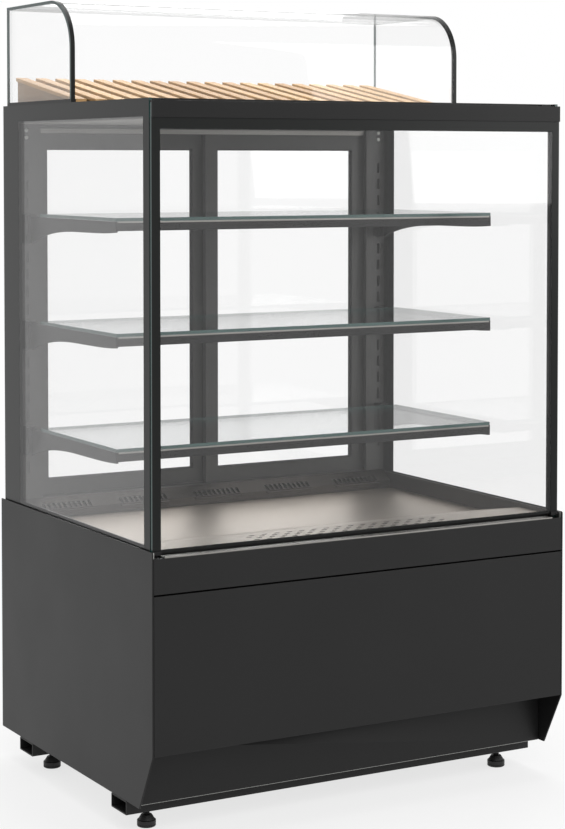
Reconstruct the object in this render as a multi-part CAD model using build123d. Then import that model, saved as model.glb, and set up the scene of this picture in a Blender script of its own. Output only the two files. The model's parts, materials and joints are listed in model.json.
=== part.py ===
from build123d import *
import math
import os

# Refrigerated pastry display case, free standing, with a small curved glass canopy on top.
# Frame: origin on the floor under the middle of the case, +X to the right as the shopper sees it,
# -Y towards the shopper, +Y towards the staff side, +Z up. All lengths are in millimetres.

# Overall sizes
CASE_WIDTH = 900.0
CASE_DEPTH = 702.0
PANEL_TOP = 534.0
GLASS_TOP = 1335.4
CANOPY_TOP = 1534.0
HALF_WIDTH = CASE_WIDTH / 2
FRONT_Y = -CASE_DEPTH / 2
REAR_Y = CASE_DEPTH / 2

# Clearances
SEAT_GAP = 0.3
SLIDE_GAP = 0.5
PIVOT_GAP = 0.05
PANEL_GAP = 0.5
POCKET_GAP = 2.0

# Feet and base rails
FOOT_X = HALF_WIDTH - 57.0
FOOT_FRONT_Y = FRONT_Y + 143.0
FOOT_REAR_Y = REAR_Y - 123.0
FOOT_RADIUS = 17.5
FOOT_PAD_HEIGHT = 13.0
FOOT_CONE_HEIGHT = 9.0
FOOT_NECK_RADIUS = 10.0
STUD_RADIUS = 6.0
STUD_ABOVE_RAIL = 12.0
RAIL_BOTTOM = 36.0
RAIL_HEIGHT = 26.0
RAIL_DEPTH = 65.0
RAIL_WALL = 2.5
NUT_RADIUS = 11.0
NUT_HEIGHT = 7.0
LOCK_NUT_HEIGHT = 5.0
NUT_SIDES = 6
FOOT_EDGE_RADIUS = 1.5

# Lower body sheet metal
SIDE_SHEET = 3.0
SHEET = 2.0
SIDE_BOTTOM = 63.0
CHAMFER_TOP = 169.0
CHAMFER_SETBACK = 55.5
SIDE_CORNER_RADIUS = 4.0
REAR_FLANGE = 20.0
KICK_Y = FRONT_Y + 73.0
FLOOR_FLANGE = 20.0
FRONT_JOINT_Z = 456.5
FRONT_JOINT_GAP = 3.0
PANEL_RETURN = 15.0
FASCIA_TOP = 522.0
SILL_HEIGHT = 2.5
SILL_DEPTH = 21.0
UPRIGHT_WIDTH = 22.0
UPRIGHT_DEPTH = 20.0
SIDE_FOOT_LIFT = 5.0
SILL_EDGE_RADIUS = 0.8
PANEL_FOOT_GAP = 4.0

# Rear panels of the machine bay
REAR_RECESS = 8.0
REAR_JOINT_Z = 330.0
GRILLE_SLOT_WIDTH = 120.0
GRILLE_SLOT_HEIGHT = 6.0
GRILLE_SLOT_PITCH = 15.0
GRILLE_ROWS = 12
GRILLE_X = (40.0, 180.0, 320.0)
GRILLE_TOP_MARGIN = 30.0

# Insulated tub under the deck
TUB_BOTTOM = 330.0
TUB_WALL = 30.0
TUB_FRONT_Y = FRONT_Y + 26.0
DECK_Z = 503.0
DECK_SHEET = 1.2
RISER_Y = REAR_Y - 101.0
RISER_FOOT = 7.0
RISER_BEND_Z = 519.0
RISER_TOP_Y = REAR_Y - 68.0
INNER_WALL_X = HALF_WIDTH - 20.0
INNER_WALL_TOP = 536.0

# Perforated return grille along the front of the deck
RAMP_START_Y = FRONT_Y + 256.0
RAMP_TOP_Y = FRONT_Y + 116.0
RAMP_TOP_Z = 527.5
RETURN_FRONT_Y = FRONT_Y + 25.0
RETURN_FRONT_Z = 529.0
PERF_ROWS = 4
PERF_COLUMNS = 16
PERF_PITCH_X = 27.0
PERF_PITCH_Y = 15.0
PERF_LENGTH = 12.0
PERF_WIDTH = 6.0
PERF_CUT_DEPTH = 20.0
PERF_FRONT_Y = FRONT_Y + 54.0

# Air outlets at the foot of the rear wall
VENT_COUNT = 5
VENT_END_MARGIN = 86.0
VENT_PITCH = 2 * (INNER_WALL_X - VENT_END_MARGIN) / (VENT_COUNT - 1)
VENT_SLOTS = 10
VENT_SLOT_PITCH = 11.2
VENT_SLOT_WIDTH = 6.0
VENT_SLOT_LOW = 519.5
VENT_SLOT_HIGH = 529.0
VENT_LEDGE_DEPTH = 6.5
VENT_LEDGE_Z = 515.0
VENT_LEDGE_THICK = 1.5
RISER_SHEET = 1.5

# Case glazing
GLASS = 6.0
SIDE_GLASS_OUTER_X = HALF_WIDTH - 4.7
SIDE_GLASS_FRONT_Y = FRONT_Y + 18.0
GLASS_REAR_Y = REAR_Y - 10.0
CHANNEL_WALL = 2.4
CHANNEL_HEIGHT = 30.0
CHANNEL_FLOOR = 5.0
CHANNEL_FIT = 0.2

# Tilting front glass
FRONT_GLASS_HALF = HALF_WIDTH - 6.0
FRONT_GLASS_Y = FRONT_Y + 11.0
FRONT_GLASS_BOTTOM = 531.0
FRONT_GLASS_HIGH = 1327.0
BAR_BOTTOM = 1301.0
BAR_TOP = 1331.0
BAR_LIP = 3.5
BAR_BACK_LIP = 3.0
BAR_BACK_HALF = HALF_WIDTH - 14.0
TAB_X = HALF_WIDTH - 40.0
TAB_WIDTH = 22.0
TAB_HEIGHT = 3.4
PIVOT_Y = FRONT_Y + 9.0
PIVOT_Z = 529.5
PIVOT_PIN_RADIUS = 2.0
SHOE_INNER_X = HALF_WIDTH - 23.0
SHOE_WALL = 3.0
SHOE_LOW = 527.0
SHOE_HIGH = 534.0
BRACKET_THICK = 2.3
BRACKET_LOW = 500.0
BRACKET_REAR_GAP = 1.5
BRACKET_FRONT_GAP = 3.0
FASCIA_NOTCH_GAP = 0.5
PIN_ROOT = 6.0

# Rear door surround and the two sliding doors
JAMB_INNER_X = HALF_WIDTH - 54.5
JAMB_OUTER_X = HALF_WIDTH - 14.0
SURROUND_FRONT_Y = REAR_Y - 55.0
SILL_TOP = 539.0
SILL_LIP = 14.0
HEADER_BOTTOM = 1280.0
HEADER_FRONT_Y = REAR_Y - 64.0
HEADER_TOP = 1329.0
TRACK_DEPTH = 12.0
DOOR_THICK = 14.0
INNER_DOOR_Y = REAR_Y - 51.0
OUTER_DOOR_Y = REAR_Y - 31.0
DOOR_SIDE_X = HALF_WIDTH - 56.0
DOOR_OVERLAP = 4.0
DOOR_TOP = 1288.0
DOOR_WINDOW_LOW = 569.0
DOOR_WINDOW_HIGH = 1250.0
DOOR_WINDOW_INNER_X = 24.0
DOOR_WINDOW_OUTER_X = HALF_WIDTH - 90.0
DOOR_GLASS = 5.0
DOOR_GROOVE = 6.0
GRIP_LENGTH = 160.0
GRIP_WIDTH = 12.0
GRIP_DEPTH = 5.0
GRIP_Z = 900.0

# Slotted posts for the shelves
POST_CENTRE_X = HALF_WIDTH - 39.0
POST_WIDTH = 46.0
POST_FRONT_Y = REAR_Y - 67.0
POST_DEPTH = 11.0
POST_SHEET = 2.0
SLOT_X = HALF_WIDTH - 31.0
SLOT_WIDTH = 7.0
SLOT_HEIGHT = 22.0
SLOT_PITCH = 35.7
SLOT_FIRST_Z = 1209.5
SLOT_COUNT = 18

# Shelves: glass, front rail and cantilever brackets
SHELF_TOPS = (1119.0, 905.0, 691.0)
SHELF_HALF = HALF_WIDTH - 30.0
SHELF_FRONT_Y = FRONT_Y + 208.0
SHELF_REAR_Y = REAR_Y - 138.0
SHELF_RAIL_HEIGHT = 18.0
SHELF_RAIL_WALL = 2.5
SHELF_RAIL_LEDGE = 18.0
ARM_THICK = 4.0
ARM_TIP_DROP = 27.0
ARM_MIDDLE_DROP = 31.0
ARM_REAR_DROP = 42.0
ARM_ROOT_DROP = 60.0
BOSS_DEPTH = 27.0
BOSS_WIDTH = 20.0
HOOK_HEIGHT = 14.0
HOOK_REACH = 5.0

# Top of the case
TOP_PLATE = 6.0
TOP_FRONT_Y = FRONT_Y + 33.0
TOP_HALF = HALF_WIDTH - 11.5
BEAM_FRONT_Y = FRONT_Y + 25.0
BEAM_WIDTH = 30.0
BEAM_LOW = 1300.0
CEILING_SHEET = 1.5
LAMP_FRONT_Y = FRONT_Y + 59.0
LAMP_DEPTH = 26.0
LAMP_HEIGHT = 12.0
LAMP_HALF = HALF_WIDTH - 50.0
LAMP_EDGE_RADIUS = 5.0
CATCH_LOW = 1304.0
CATCH_HEIGHT = 18.0

# Canopy
CANOPY_HALF = HALF_WIDTH - 9.0
CANOPY_FRONT_Y = REAR_Y - 339.0
CANOPY_REAR_Y = REAR_Y - 21.0
CANOPY_RADIUS = 95.5
CANOPY_STRIP_WIDTH = 10.0
CANOPY_STRIP_HEIGHT = 6.6
CANOPY_SEAM = 0.2

# Wooden bread rack in the canopy
SLAT_COUNT = 20
SLAT_WIDTH = 24.0
SLAT_THICK = 7.5
SLAT_EDGE_RADIUS = 1.2
RACK_HALF = CANOPY_HALF - 19.5
RACK_REAR_Y = CANOPY_REAR_Y
RACK_REAR_Z = 1393.5
RACK_FRONT_Y = CANOPY_FRONT_Y + 25.0
RACK_FRONT_Z = 1343.5
BOARD_THICK = 16.0
BOARD_INSET = 4.0
BOARD_SIDE_GAP = 1.5
BATTEN_DEPTH = 18.0
BATTEN_HEIGHT = 12.0
BATTEN_Y = (CANOPY_FRONT_Y + 108.0, CANOPY_REAR_Y - 50.0)

# Refrigeration machinery
COMPRESSOR_X = -190.0
COMPRESSOR_Y = 20.0
COMPRESSOR_RADIUS = 80.0
COMPRESSOR_HEIGHT = 190.0
COMPRESSOR_MOUNT_HEIGHT = 14.0
COMPRESSOR_DOME_SHARE = 0.5
COMPRESSOR_PLATE_SHARE = 0.95
COMPRESSOR_PLATE_THICK = 4.0
COMPRESSOR_POST_INSET = 14.0
COMPRESSOR_POST_RADIUS = 11.0
TERMINAL_REACH = 22.0
TERMINAL_ROOT = 20.0
TERMINAL_HALF = 28.0
TERMINAL_HEIGHT = 62.0
TERMINAL_SHARE = 0.45
DISCHARGE_OFFSET = 20.0
DISCHARGE_SHARE = 0.5
SUCTION_OFFSET = -25.0
SUCTION_SHARE = 0.35
CONDENSER_X = (20.0, HALF_WIDTH - 70.0)
CONDENSER_Y = (REAR_Y - 101.0, REAR_Y - 51.0)
CONDENSER_HEIGHT = 220.0
CONDENSER_LIFT = 8.0
CONDENSER_FAN_RADIUS = 92.0
EVAPORATOR_X = (150.0 - HALF_WIDTH, HALF_WIDTH - 150.0)
EVAPORATOR_Y = (40.0, 140.0)
EVAPORATOR_HEIGHT = 96.0
EVAPORATOR_LIFT = 6.0
EVAPORATOR_FAN_RADIUS = 54.0
FIN_THICK = 0.8
FIN_COUNT = 36
COIL_TUBE_RADIUS = 4.8
COIL_TUBE_END = 4.0
COIL_ROW_PITCH = 25.0
COIL_LEVEL_PITCH = 26.0
FAN_TIP_GAP = 3.0
FAN_HUB_RADIUS = 18.0
FAN_DEPTH = 18.0
FAN_BLADES = 5
BLADE_THICK = 1.6
BLADE_PITCH = 32.0
MOTOR_RADIUS = 28.0
MOTOR_LENGTH = 34.0
MOTOR_GAP = 9.0
MOTOR_STEM_HALF = 8.0
MOTOR_STEM_DEPTH = 14.0
MOTOR_STEM_SETBACK = 6.0
MOTOR_FOOT_HALF = 24.0
MOTOR_FOOT_DEPTH = 26.0
MOTOR_FOOT_THICK = 2.0
FAN_SHAFT_SHARE = 0.6
CONDENSER_FAN_SETBACK = 34.0
EVAPORATOR_FAN_SETBACK = 60.0
EVAPORATOR_FAN_LIFT = 8.0
SHAFT_RADIUS = 3.0
PLATE_THICK = 1.5
PIPE_RADIUS = 4.8
PIPE_BEND = 22.0
PIPE_RUN = 55.0
PORT_LENGTH = 6.0
PORT_RADIUS = 6.5
DRIER_RADIUS = 11.0
DRIER_LENGTH = 90.0

# Condensate tray at the rear of the machine bay
TRAY_X = (50.0 - HALF_WIDTH, 270.0 - HALF_WIDTH)
TRAY_DEPTH = 210.0
TRAY_HEIGHT = 46.0
TRAY_WALL = 2.5
TRAY_LIFT = 0.3
TRAY_WINDOW_GAP = 1.5
TRAY_LIP = 6.0
TRAY_GRIP_HALF = 45.0
TRAY_GRIP_LOW = 16.0
TRAY_GRIP_HIGH = 4.0

# Controls on the rear control panel
CONTROL_Z = 416.0
CONTROLLER_X = 150.0 - HALF_WIDTH
CONTROLLER_WIDTH = 71.0
CONTROLLER_HEIGHT = 29.0
CONTROLLER_DEPTH = 22.0
CONTROLLER_BEZEL = 4.0
CONTROLLER_BEZEL_THICK = 4.0
DISPLAY_WIDTH = 34.0
DISPLAY_HEIGHT = 16.0
DISPLAY_RECESS = 1.0
KEY_OFFSETS = (21.0, 31.0)
KEY_RADIUS = 3.6
KEY_DEPTH = 6.0
KEY_STAND = 1.2
KEY_GAP = 0.3
SWITCH_X = 250.0 - HALF_WIDTH
SWITCH_WIDTH = 13.0
SWITCH_HEIGHT = 19.0
SWITCH_BEZEL = 2.5
SWITCH_DEPTH = 16.0
SWITCH_TILT = 8.0
SWITCH_GAP = 0.6
SWITCH_WALL = 1.2
SWITCH_PIN_RADIUS = 1.2
SWITCH_PIN_REACH = 0.7
INLET_X = 340.0 - HALF_WIDTH
INLET_WIDTH = 28.0
INLET_HEIGHT = 20.0
INLET_FLANGE = 10.0
INLET_DEPTH = 22.0
INLET_CAVITY = 14.0
INLET_FACE = 2.5
INLET_RIM = 4.0
INLET_BLADES = ((-7.0, -2.0), (0.0, 3.0), (7.0, -2.0))
INLET_BLADE_LENGTH = 10.0
INLET_BLADE_WIDTH = 6.0

# Screws that hold the post brackets and the rear panels
SCREW_HEAD_RADIUS = 4.0
SCREW_HEAD_HEIGHT = 2.0
SCREW_EDGE_RADIUS = 0.8
REAR_SCREW_Z = (90.0, 200.0, 310.0, 352.0, 480.0)
POST_SCREW_Z = (1286.0, 1272.0)

# Values that follow from the sizes above
SIDE_INNER_X = HALF_WIDTH - SIDE_SHEET
PANEL_HALF = SIDE_INNER_X - PANEL_GAP
FRONT_SHEET_Y = FRONT_Y + SHEET
RAIL_TOP = RAIL_BOTTOM + RAIL_HEIGHT
FLOOR_TOP = RAIL_TOP + SHEET
DECK_UNDERSIDE = DECK_Z - DECK_SHEET
TUB_TOP = DECK_UNDERSIDE - SEAT_GAP
TUB_FLOOR = TUB_BOTTOM + TUB_WALL
SILL_BASE = TUB_TOP
SIDE_GLASS_INNER_X = SIDE_GLASS_OUTER_X - GLASS
CHANNEL_INNER_X = SIDE_GLASS_INNER_X - CHANNEL_FIT - CHANNEL_WALL
CHANNEL_OUTER_X = SIDE_GLASS_OUTER_X + CHANNEL_FIT + 1.2
CHANNEL_TOP = TUB_TOP + CHANNEL_HEIGHT
SIDE_GLASS_BOTTOM = TUB_TOP + CHANNEL_FLOOR
FRONT_GLASS_BACK = FRONT_GLASS_Y + GLASS
TOP_PLATE_Z = GLASS_TOP - TOP_PLATE
REAR_PANEL_Y = REAR_Y - REAR_RECESS
REAR_SKIN_Y = REAR_PANEL_Y + SHEET
FLOOR_REAR_Y = REAR_PANEL_Y - SHEET - SEAT_GAP
POST_INNER_X = POST_CENTRE_X - POST_WIDTH / 2 - SLIDE_GAP
POST_OUTER_X = POST_CENTRE_X + POST_WIDTH / 2 + SLIDE_GAP
POST_REAR_Y = POST_FRONT_Y + POST_DEPTH
DOOR_BOTTOM = SILL_TOP - TRACK_DEPTH + SEAT_GAP
RACK_SLOPE = (RACK_REAR_Z - RACK_FRONT_Z) / (RACK_REAR_Y - RACK_FRONT_Y)


def block(x0, x1, y0, y1, z0, z1):
    """Rectangular solid between two opposite corners."""
    centre = Pos((x0 + x1) / 2, (y0 + y1) / 2, (z0 + z1) / 2)
    return centre * Box(x1 - x0, y1 - y0, z1 - z0)


def prism_x(points, x0, x1):
    """Outline of (y, z) points, extruded along X from x0 to x1."""
    outline = make_face(Polyline(*points, close=True))
    return extrude(Plane.YZ.offset(x0) * outline, amount=x1 - x0)


def rod_x(radius, x0, x1, y, z):
    """Round bar along X."""
    return Pos((x0 + x1) / 2, y, z) * Rot(0, 90, 0) * Cylinder(radius, x1 - x0)


def rod_y(radius, y0, y1, x, z):
    """Round bar along Y."""
    return Pos(x, (y0 + y1) / 2, z) * Rot(90, 0, 0) * Cylinder(radius, y1 - y0)


def rod_z(radius, z0, z1, x, y):
    """Round bar along Z."""
    return Pos(x, y, (z0 + z1) / 2) * Cylinder(radius, z1 - z0)


def both_sides(right):
    """The piece on the right and its mirror image on the left."""
    return [right, mirror(right, about=Plane.YZ)]


def group(pieces):
    """Several separate solids of one node."""
    return Compound(children=[solid for piece in pieces for solid in piece.solids()])


def save(name, shape):
    """Write one node as a STEP file."""
    export_step(shape, f"parts/{name}.step")


# Base: feet, nuts, rails and floor pan


def foot(x, y):
    """Levelling foot: round pad, cone and threaded stud that reaches into the rail."""
    pad = rod_z(FOOT_RADIUS, 0, FOOT_PAD_HEIGHT, x, y)
    cone_centre = Pos(x, y, FOOT_PAD_HEIGHT + FOOT_CONE_HEIGHT / 2)
    cone = cone_centre * Cone(FOOT_RADIUS, FOOT_NECK_RADIUS, FOOT_CONE_HEIGHT)
    stud_top = RAIL_BOTTOM + STUD_ABOVE_RAIL
    stud = rod_z(STUD_RADIUS, FOOT_PAD_HEIGHT, stud_top, x, y)
    return fillet(pad.edges().group_by(Axis.Z)[0], FOOT_EDGE_RADIUS) + cone + stud


def hexagon_nut(x, y, low, height):
    """Six-sided nut around a stud."""
    body = Pos(x, y, low) * extrude(RegularPolygon(NUT_RADIUS, NUT_SIDES), amount=height)
    return body - rod_z(STUD_RADIUS + PIVOT_GAP, low - 1, low + height + 1, x, y)


def foot_places():
    """Names and places of the four feet."""
    return [
        ("front_left", -FOOT_X, FOOT_FRONT_Y),
        ("front_right", FOOT_X, FOOT_FRONT_Y),
        ("rear_left", -FOOT_X, FOOT_REAR_Y),
        ("rear_right", FOOT_X, FOOT_REAR_Y),
    ]


def foot_nuts():
    """Weld nut inside the rail and lock nut under it at each foot."""
    nuts = []
    for _, x, y in foot_places():
        nuts.append(hexagon_nut(x, y, RAIL_BOTTOM + RAIL_WALL, NUT_HEIGHT))
        nuts.append(hexagon_nut(x, y, RAIL_BOTTOM - LOCK_NUT_HEIGHT, LOCK_NUT_HEIGHT))
    return group(nuts)


def base_rail(centre_y):
    """Rectangular tube across the base, drilled for the two studs."""
    half = HALF_WIDTH - 1.0
    y0 = centre_y - RAIL_DEPTH / 2
    y1 = centre_y + RAIL_DEPTH / 2
    outer = block(-half, half, y0, y1, RAIL_BOTTOM, RAIL_TOP)
    bore = block(
        -half - 1,
        half + 1,
        y0 + RAIL_WALL,
        y1 - RAIL_WALL,
        RAIL_BOTTOM + RAIL_WALL,
        RAIL_TOP - RAIL_WALL,
    )
    tube = fillet(outer.edges().filter_by(Axis.X), 2.0) - bore
    for x in (-FOOT_X, FOOT_X):
        tube -= rod_z(STUD_RADIUS + SLIDE_GAP, RAIL_BOTTOM - 1, RAIL_BOTTOM + RAIL_WALL + 1, x, centre_y)
    return tube


def base_floor():
    """Floor pan of the machine bay with upturned front and rear flanges."""
    front = KICK_Y + SHEET
    sheet = block(-PANEL_HALF, PANEL_HALF, front, FLOOR_REAR_Y, RAIL_TOP, FLOOR_TOP)
    flange_top = FLOOR_TOP + FLOOR_FLANGE
    sheet += block(-PANEL_HALF, PANEL_HALF, front, front + SHEET, RAIL_TOP, flange_top)
    sheet += block(-PANEL_HALF, PANEL_HALF, FLOOR_REAR_Y - SHEET, FLOOR_REAR_Y, RAIL_TOP, flange_top - 12)
    tray_gap = TRAY_WINDOW_GAP
    mouth = block(
        TRAY_X[0] - tray_gap,
        TRAY_X[1] + tray_gap,
        FLOOR_REAR_Y - SHEET - 1,
        FLOOR_REAR_Y + 1,
        FLOOR_TOP,
        flange_top,
    )
    return sheet - mouth


# Lower body panels


def side_panel():
    """Right side panel: sheet with a chamfered toe and a flange along its rear edge."""
    corners = [
        (FRONT_Y, PANEL_TOP),
        (FRONT_Y, CHAMFER_TOP),
        (FRONT_Y + CHAMFER_SETBACK, SIDE_BOTTOM),
        (REAR_Y, SIDE_BOTTOM),
        (REAR_Y, PANEL_TOP),
    ]
    sheet = prism_x(corners, SIDE_INNER_X, HALF_WIDTH)
    nose = sheet.edges().filter_by(Axis.X).sort_by_distance((HALF_WIDTH, FRONT_Y, PANEL_TOP))[0]
    sheet = fillet(nose, SIDE_CORNER_RADIUS)
    flange_x = SIDE_INNER_X - REAR_FLANGE
    flange_y = REAR_PANEL_Y - SHEET
    flange = block(flange_x, SIDE_INNER_X, flange_y, REAR_PANEL_Y, SIDE_BOTTOM + SIDE_FOOT_LIFT, TUB_TOP)
    return sheet + flange


def kick_panel():
    """Set-back plinth sheet and the soffit above it that closes the toe space."""
    top = CHAMFER_TOP + SHEET
    plinth = block(-PANEL_HALF, PANEL_HALF, KICK_Y, KICK_Y + SHEET, SIDE_BOTTOM, top)
    soffit_front = FRONT_SHEET_Y + PANEL_RETURN
    soffit = block(-PANEL_HALF, PANEL_HALF, soffit_front, KICK_Y, CHAMFER_TOP, top)
    return group([plinth, soffit])


def folded_front(z0, z1, return_depth):
    """Front sheet with its top and bottom edges folded back."""
    sheet = block(-PANEL_HALF, PANEL_HALF, FRONT_Y, FRONT_SHEET_Y, z0, z1)
    back = FRONT_SHEET_Y + return_depth
    sheet += block(-PANEL_HALF, PANEL_HALF, FRONT_SHEET_Y, back, z0, z0 + SHEET)
    sheet += block(-PANEL_HALF, PANEL_HALF, FRONT_SHEET_Y, back, z1 - SHEET, z1)
    return sheet


def front_panel():
    """Large removable front panel."""
    return folded_front(CHAMFER_TOP, FRONT_JOINT_Z - FRONT_JOINT_GAP / 2, PANEL_RETURN)


def front_fascia():
    """Narrow fascia between the front panel and the front glass."""
    return folded_front(FRONT_JOINT_Z + FRONT_JOINT_GAP / 2, FASCIA_TOP, PANEL_RETURN)


def front_sill():
    """Bright sill strip on the fascia, under the front glass."""
    half = SHOE_INNER_X - 2.0
    back = FRONT_Y + SILL_DEPTH
    strip = block(-half, half, FRONT_Y + 0.5, back, FASCIA_TOP, FASCIA_TOP + SILL_HEIGHT)
    return fillet(strip.edges().filter_by(Axis.X).group_by(Axis.Z)[-1], SILL_EDGE_RADIUS)


def front_uprights():
    """Angle uprights that carry the two front panels on the side panels."""
    x0 = SIDE_INNER_X - UPRIGHT_WIDTH
    z0 = CHAMFER_TOP + SHEET + PANEL_FOOT_GAP
    z1 = TUB_TOP - SHEET
    y0 = FRONT_SHEET_Y
    wing = block(x0, SIDE_INNER_X, y0, y0 + SHEET, z0, z1)
    web = block(SIDE_INNER_X - SHEET, SIDE_INNER_X, y0, y0 + UPRIGHT_DEPTH, z0, z1)
    notch_low = FRONT_JOINT_Z - FRONT_JOINT_GAP / 2 - SHEET - 0.5
    notch_high = FRONT_JOINT_Z + FRONT_JOINT_GAP / 2 + SHEET + 0.5
    notch = block(x0 - 1, PANEL_HALF + 0.2, y0 - 1, y0 + PANEL_RETURN + 0.5, notch_low, notch_high)
    return group(both_sides(wing + web - notch))


def grille_slots():
    """Ventilation slots of the lower rear panel, as one set of cutters."""
    cutters = []
    for centre_x in GRILLE_X:
        for row in range(GRILLE_ROWS):
            z = REAR_JOINT_Z - GRILLE_TOP_MARGIN - row * GRILLE_SLOT_PITCH
            slot = SlotOverall(GRILLE_SLOT_WIDTH, GRILLE_SLOT_HEIGHT)
            placed = Plane.XZ.offset(-REAR_SKIN_Y - 1) * Pos(centre_x, z) * slot
            cutters.append(extrude(placed, amount=SHEET + 2))
    return cutters


def rear_grille_panel():
    """Lower rear panel with air slots, the tray window and the power inlet cut-out."""
    low = SIDE_BOTTOM + SIDE_FOOT_LIFT
    high = REAR_JOINT_Z - 1
    sheet = block(-PANEL_HALF, PANEL_HALF, REAR_PANEL_Y, REAR_SKIN_Y, low, high)
    gap = TRAY_WINDOW_GAP
    window_top = FLOOR_TOP + TRAY_LIFT + TRAY_HEIGHT + gap
    window = block(
        TRAY_X[0] - gap, TRAY_X[1] + gap, REAR_PANEL_Y - 1, REAR_SKIN_Y + 1, low - 1, window_top
    )
    return sheet - window - grille_slots()


def rear_control_panel():
    """Upper rear panel that holds the controller, the light switch and the power inlet."""
    low = REAR_JOINT_Z + 1
    sheet = block(-PANEL_HALF, PANEL_HALF, REAR_PANEL_Y, REAR_SKIN_Y, low, TUB_TOP)
    openings = [
        (CONTROLLER_X, CONTROLLER_WIDTH, CONTROLLER_HEIGHT),
        (SWITCH_X, SWITCH_WIDTH, SWITCH_HEIGHT),
        (INLET_X, INLET_WIDTH, INLET_HEIGHT),
    ]
    for x, width, height in openings:
        half = width / 2
        z0 = CONTROL_Z - height / 2
        sheet -= block(x - half, x + half, REAR_PANEL_Y - 1, REAR_SKIN_Y + 1, z0, z0 + height)
    return sheet


# Insulated tub, deck and inner walls


def insulated_tub():
    """Foam-filled tub that holds the evaporator under the deck."""
    outer = block(-PANEL_HALF, PANEL_HALF, TUB_FRONT_Y, REAR_PANEL_Y - SHEET, TUB_BOTTOM, TUB_TOP)
    room = block(
        -PANEL_HALF + TUB_WALL,
        PANEL_HALF - TUB_WALL,
        TUB_FRONT_Y + TUB_WALL,
        GLASS_REAR_Y - TUB_WALL,
        TUB_FLOOR,
        TUB_TOP + 1,
    )
    controls = [
        (CONTROLLER_X, CONTROLLER_WIDTH, CONTROLLER_HEIGHT, CONTROLLER_DEPTH),
        (SWITCH_X, SWITCH_WIDTH, SWITCH_HEIGHT, SWITCH_DEPTH),
        (INLET_X, INLET_WIDTH, INLET_HEIGHT, INLET_DEPTH),
    ]
    tub = outer - room
    for x, width, height, depth in controls:
        half = width / 2 + POCKET_GAP
        z0 = CONTROL_Z - height / 2 - POCKET_GAP
        z1 = CONTROL_Z + height / 2 + POCKET_GAP
        tub -= block(x - half, x + half, REAR_PANEL_Y - depth - POCKET_GAP, REAR_PANEL_Y + 1, z0, z1)
    return tub


def post_notches(z0, z1):
    """Cutters that leave room for the two slotted posts between z0 and z1."""
    rear = POST_REAR_Y + SEAT_GAP
    right = block(POST_INNER_X, POST_OUTER_X, POST_FRONT_Y - 1, rear, z0, z1)
    return both_sides(right)


def vent_centres():
    """X centres of the air outlets."""
    first = -VENT_PITCH * (VENT_COUNT - 1) / 2
    return [first + VENT_PITCH * n for n in range(VENT_COUNT)]


def vent_cutters(y0, y1):
    """Upright slots of all air outlets, cut through the span y0 to y1."""
    cutters = []
    for centre in vent_centres():
        for n in range(VENT_SLOTS):
            x = centre + (n - (VENT_SLOTS - 1) / 2) * VENT_SLOT_PITCH
            half = VENT_SLOT_WIDTH / 2
            cutters.append(block(x - half, x + half, y0, y1, VENT_SLOT_LOW, VENT_SLOT_HIGH))
    return cutters


def deck_pan():
    """Flat stainless deck between the ramp and the foot of the riser."""
    half = INNER_WALL_X - SLIDE_GAP
    front = RAMP_START_Y + SLIDE_GAP
    rear = RISER_Y - RISER_FOOT - SEAT_GAP
    return block(-half, half, front, rear, DECK_UNDERSIDE, DECK_Z)


def return_grille():
    """Ramp in front of the deck with a perforated strip that draws the air back down."""
    half = INNER_WALL_X - SLIDE_GAP
    t = DECK_SHEET
    outline = [
        (RAMP_START_Y, TUB_TOP),
        (RAMP_START_Y, DECK_Z),
        (RAMP_TOP_Y, RAMP_TOP_Z),
        (RETURN_FRONT_Y, RETURN_FRONT_Z),
        (RETURN_FRONT_Y, TUB_TOP),
        (RETURN_FRONT_Y + t, TUB_TOP),
        (RETURN_FRONT_Y + t, RETURN_FRONT_Z - t),
        (RAMP_TOP_Y, RAMP_TOP_Z - t),
        (RAMP_START_Y - t, DECK_Z - t),
        (RAMP_START_Y - t, TUB_TOP),
    ]
    strip = prism_x(outline, -half, half)
    return strip - perforations()


def perforations():
    """Staggered slots of the return grille."""
    cutters = []
    low = RAMP_TOP_Z - 10
    for row in range(PERF_ROWS):
        y = PERF_FRONT_Y + row * PERF_PITCH_Y
        shift = PERF_PITCH_X / 4 * (1 if row % 2 else -1)
        for column in range(PERF_COLUMNS):
            x = (column - (PERF_COLUMNS - 1) / 2) * PERF_PITCH_X + shift
            slot = Pos(x, y, low) * SlotOverall(PERF_LENGTH, PERF_WIDTH)
            cutters.append(extrude(slot, amount=PERF_CUT_DEPTH))
    return cutters


def inner_walls():
    """Low side walls beside the deck and the slotted riser behind it."""
    wall_x = INNER_WALL_X
    wall_rear = POST_FRONT_Y - SLIDE_GAP
    wall = block(wall_x, wall_x + SHEET, RETURN_FRONT_Y, wall_rear, TUB_TOP, INNER_WALL_TOP)
    return group([*both_sides(wall), vent_riser()])


def vent_riser():
    """Sheet that rises behind the deck, with the air outlets and a small ledge before each."""
    half = INNER_WALL_X - SLIDE_GAP
    t = RISER_SHEET
    top_z = SILL_TOP - t
    outline = [
        (RISER_Y - RISER_FOOT, DECK_UNDERSIDE),
        (RISER_Y - RISER_FOOT, DECK_Z),
        (RISER_Y, DECK_Z),
        (RISER_Y, RISER_BEND_Z),
        (RISER_TOP_Y, SILL_TOP),
        (RISER_TOP_Y, top_z),
        (RISER_Y + t, RISER_BEND_Z - t),
        (RISER_Y + t, DECK_UNDERSIDE),
    ]
    riser = prism_x(outline, -half, half) - vent_cutters(RISER_Y - 1, RISER_TOP_Y)
    lip_half = VENT_SLOTS * VENT_SLOT_PITCH / 2
    lip_top = VENT_LEDGE_Z + VENT_LEDGE_THICK
    for x in vent_centres():
        lip_x = (x - lip_half, x + lip_half)
        riser += block(*lip_x, RISER_Y - VENT_LEDGE_DEPTH, RISER_Y, VENT_LEDGE_Z, lip_top)
    return riser


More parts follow.
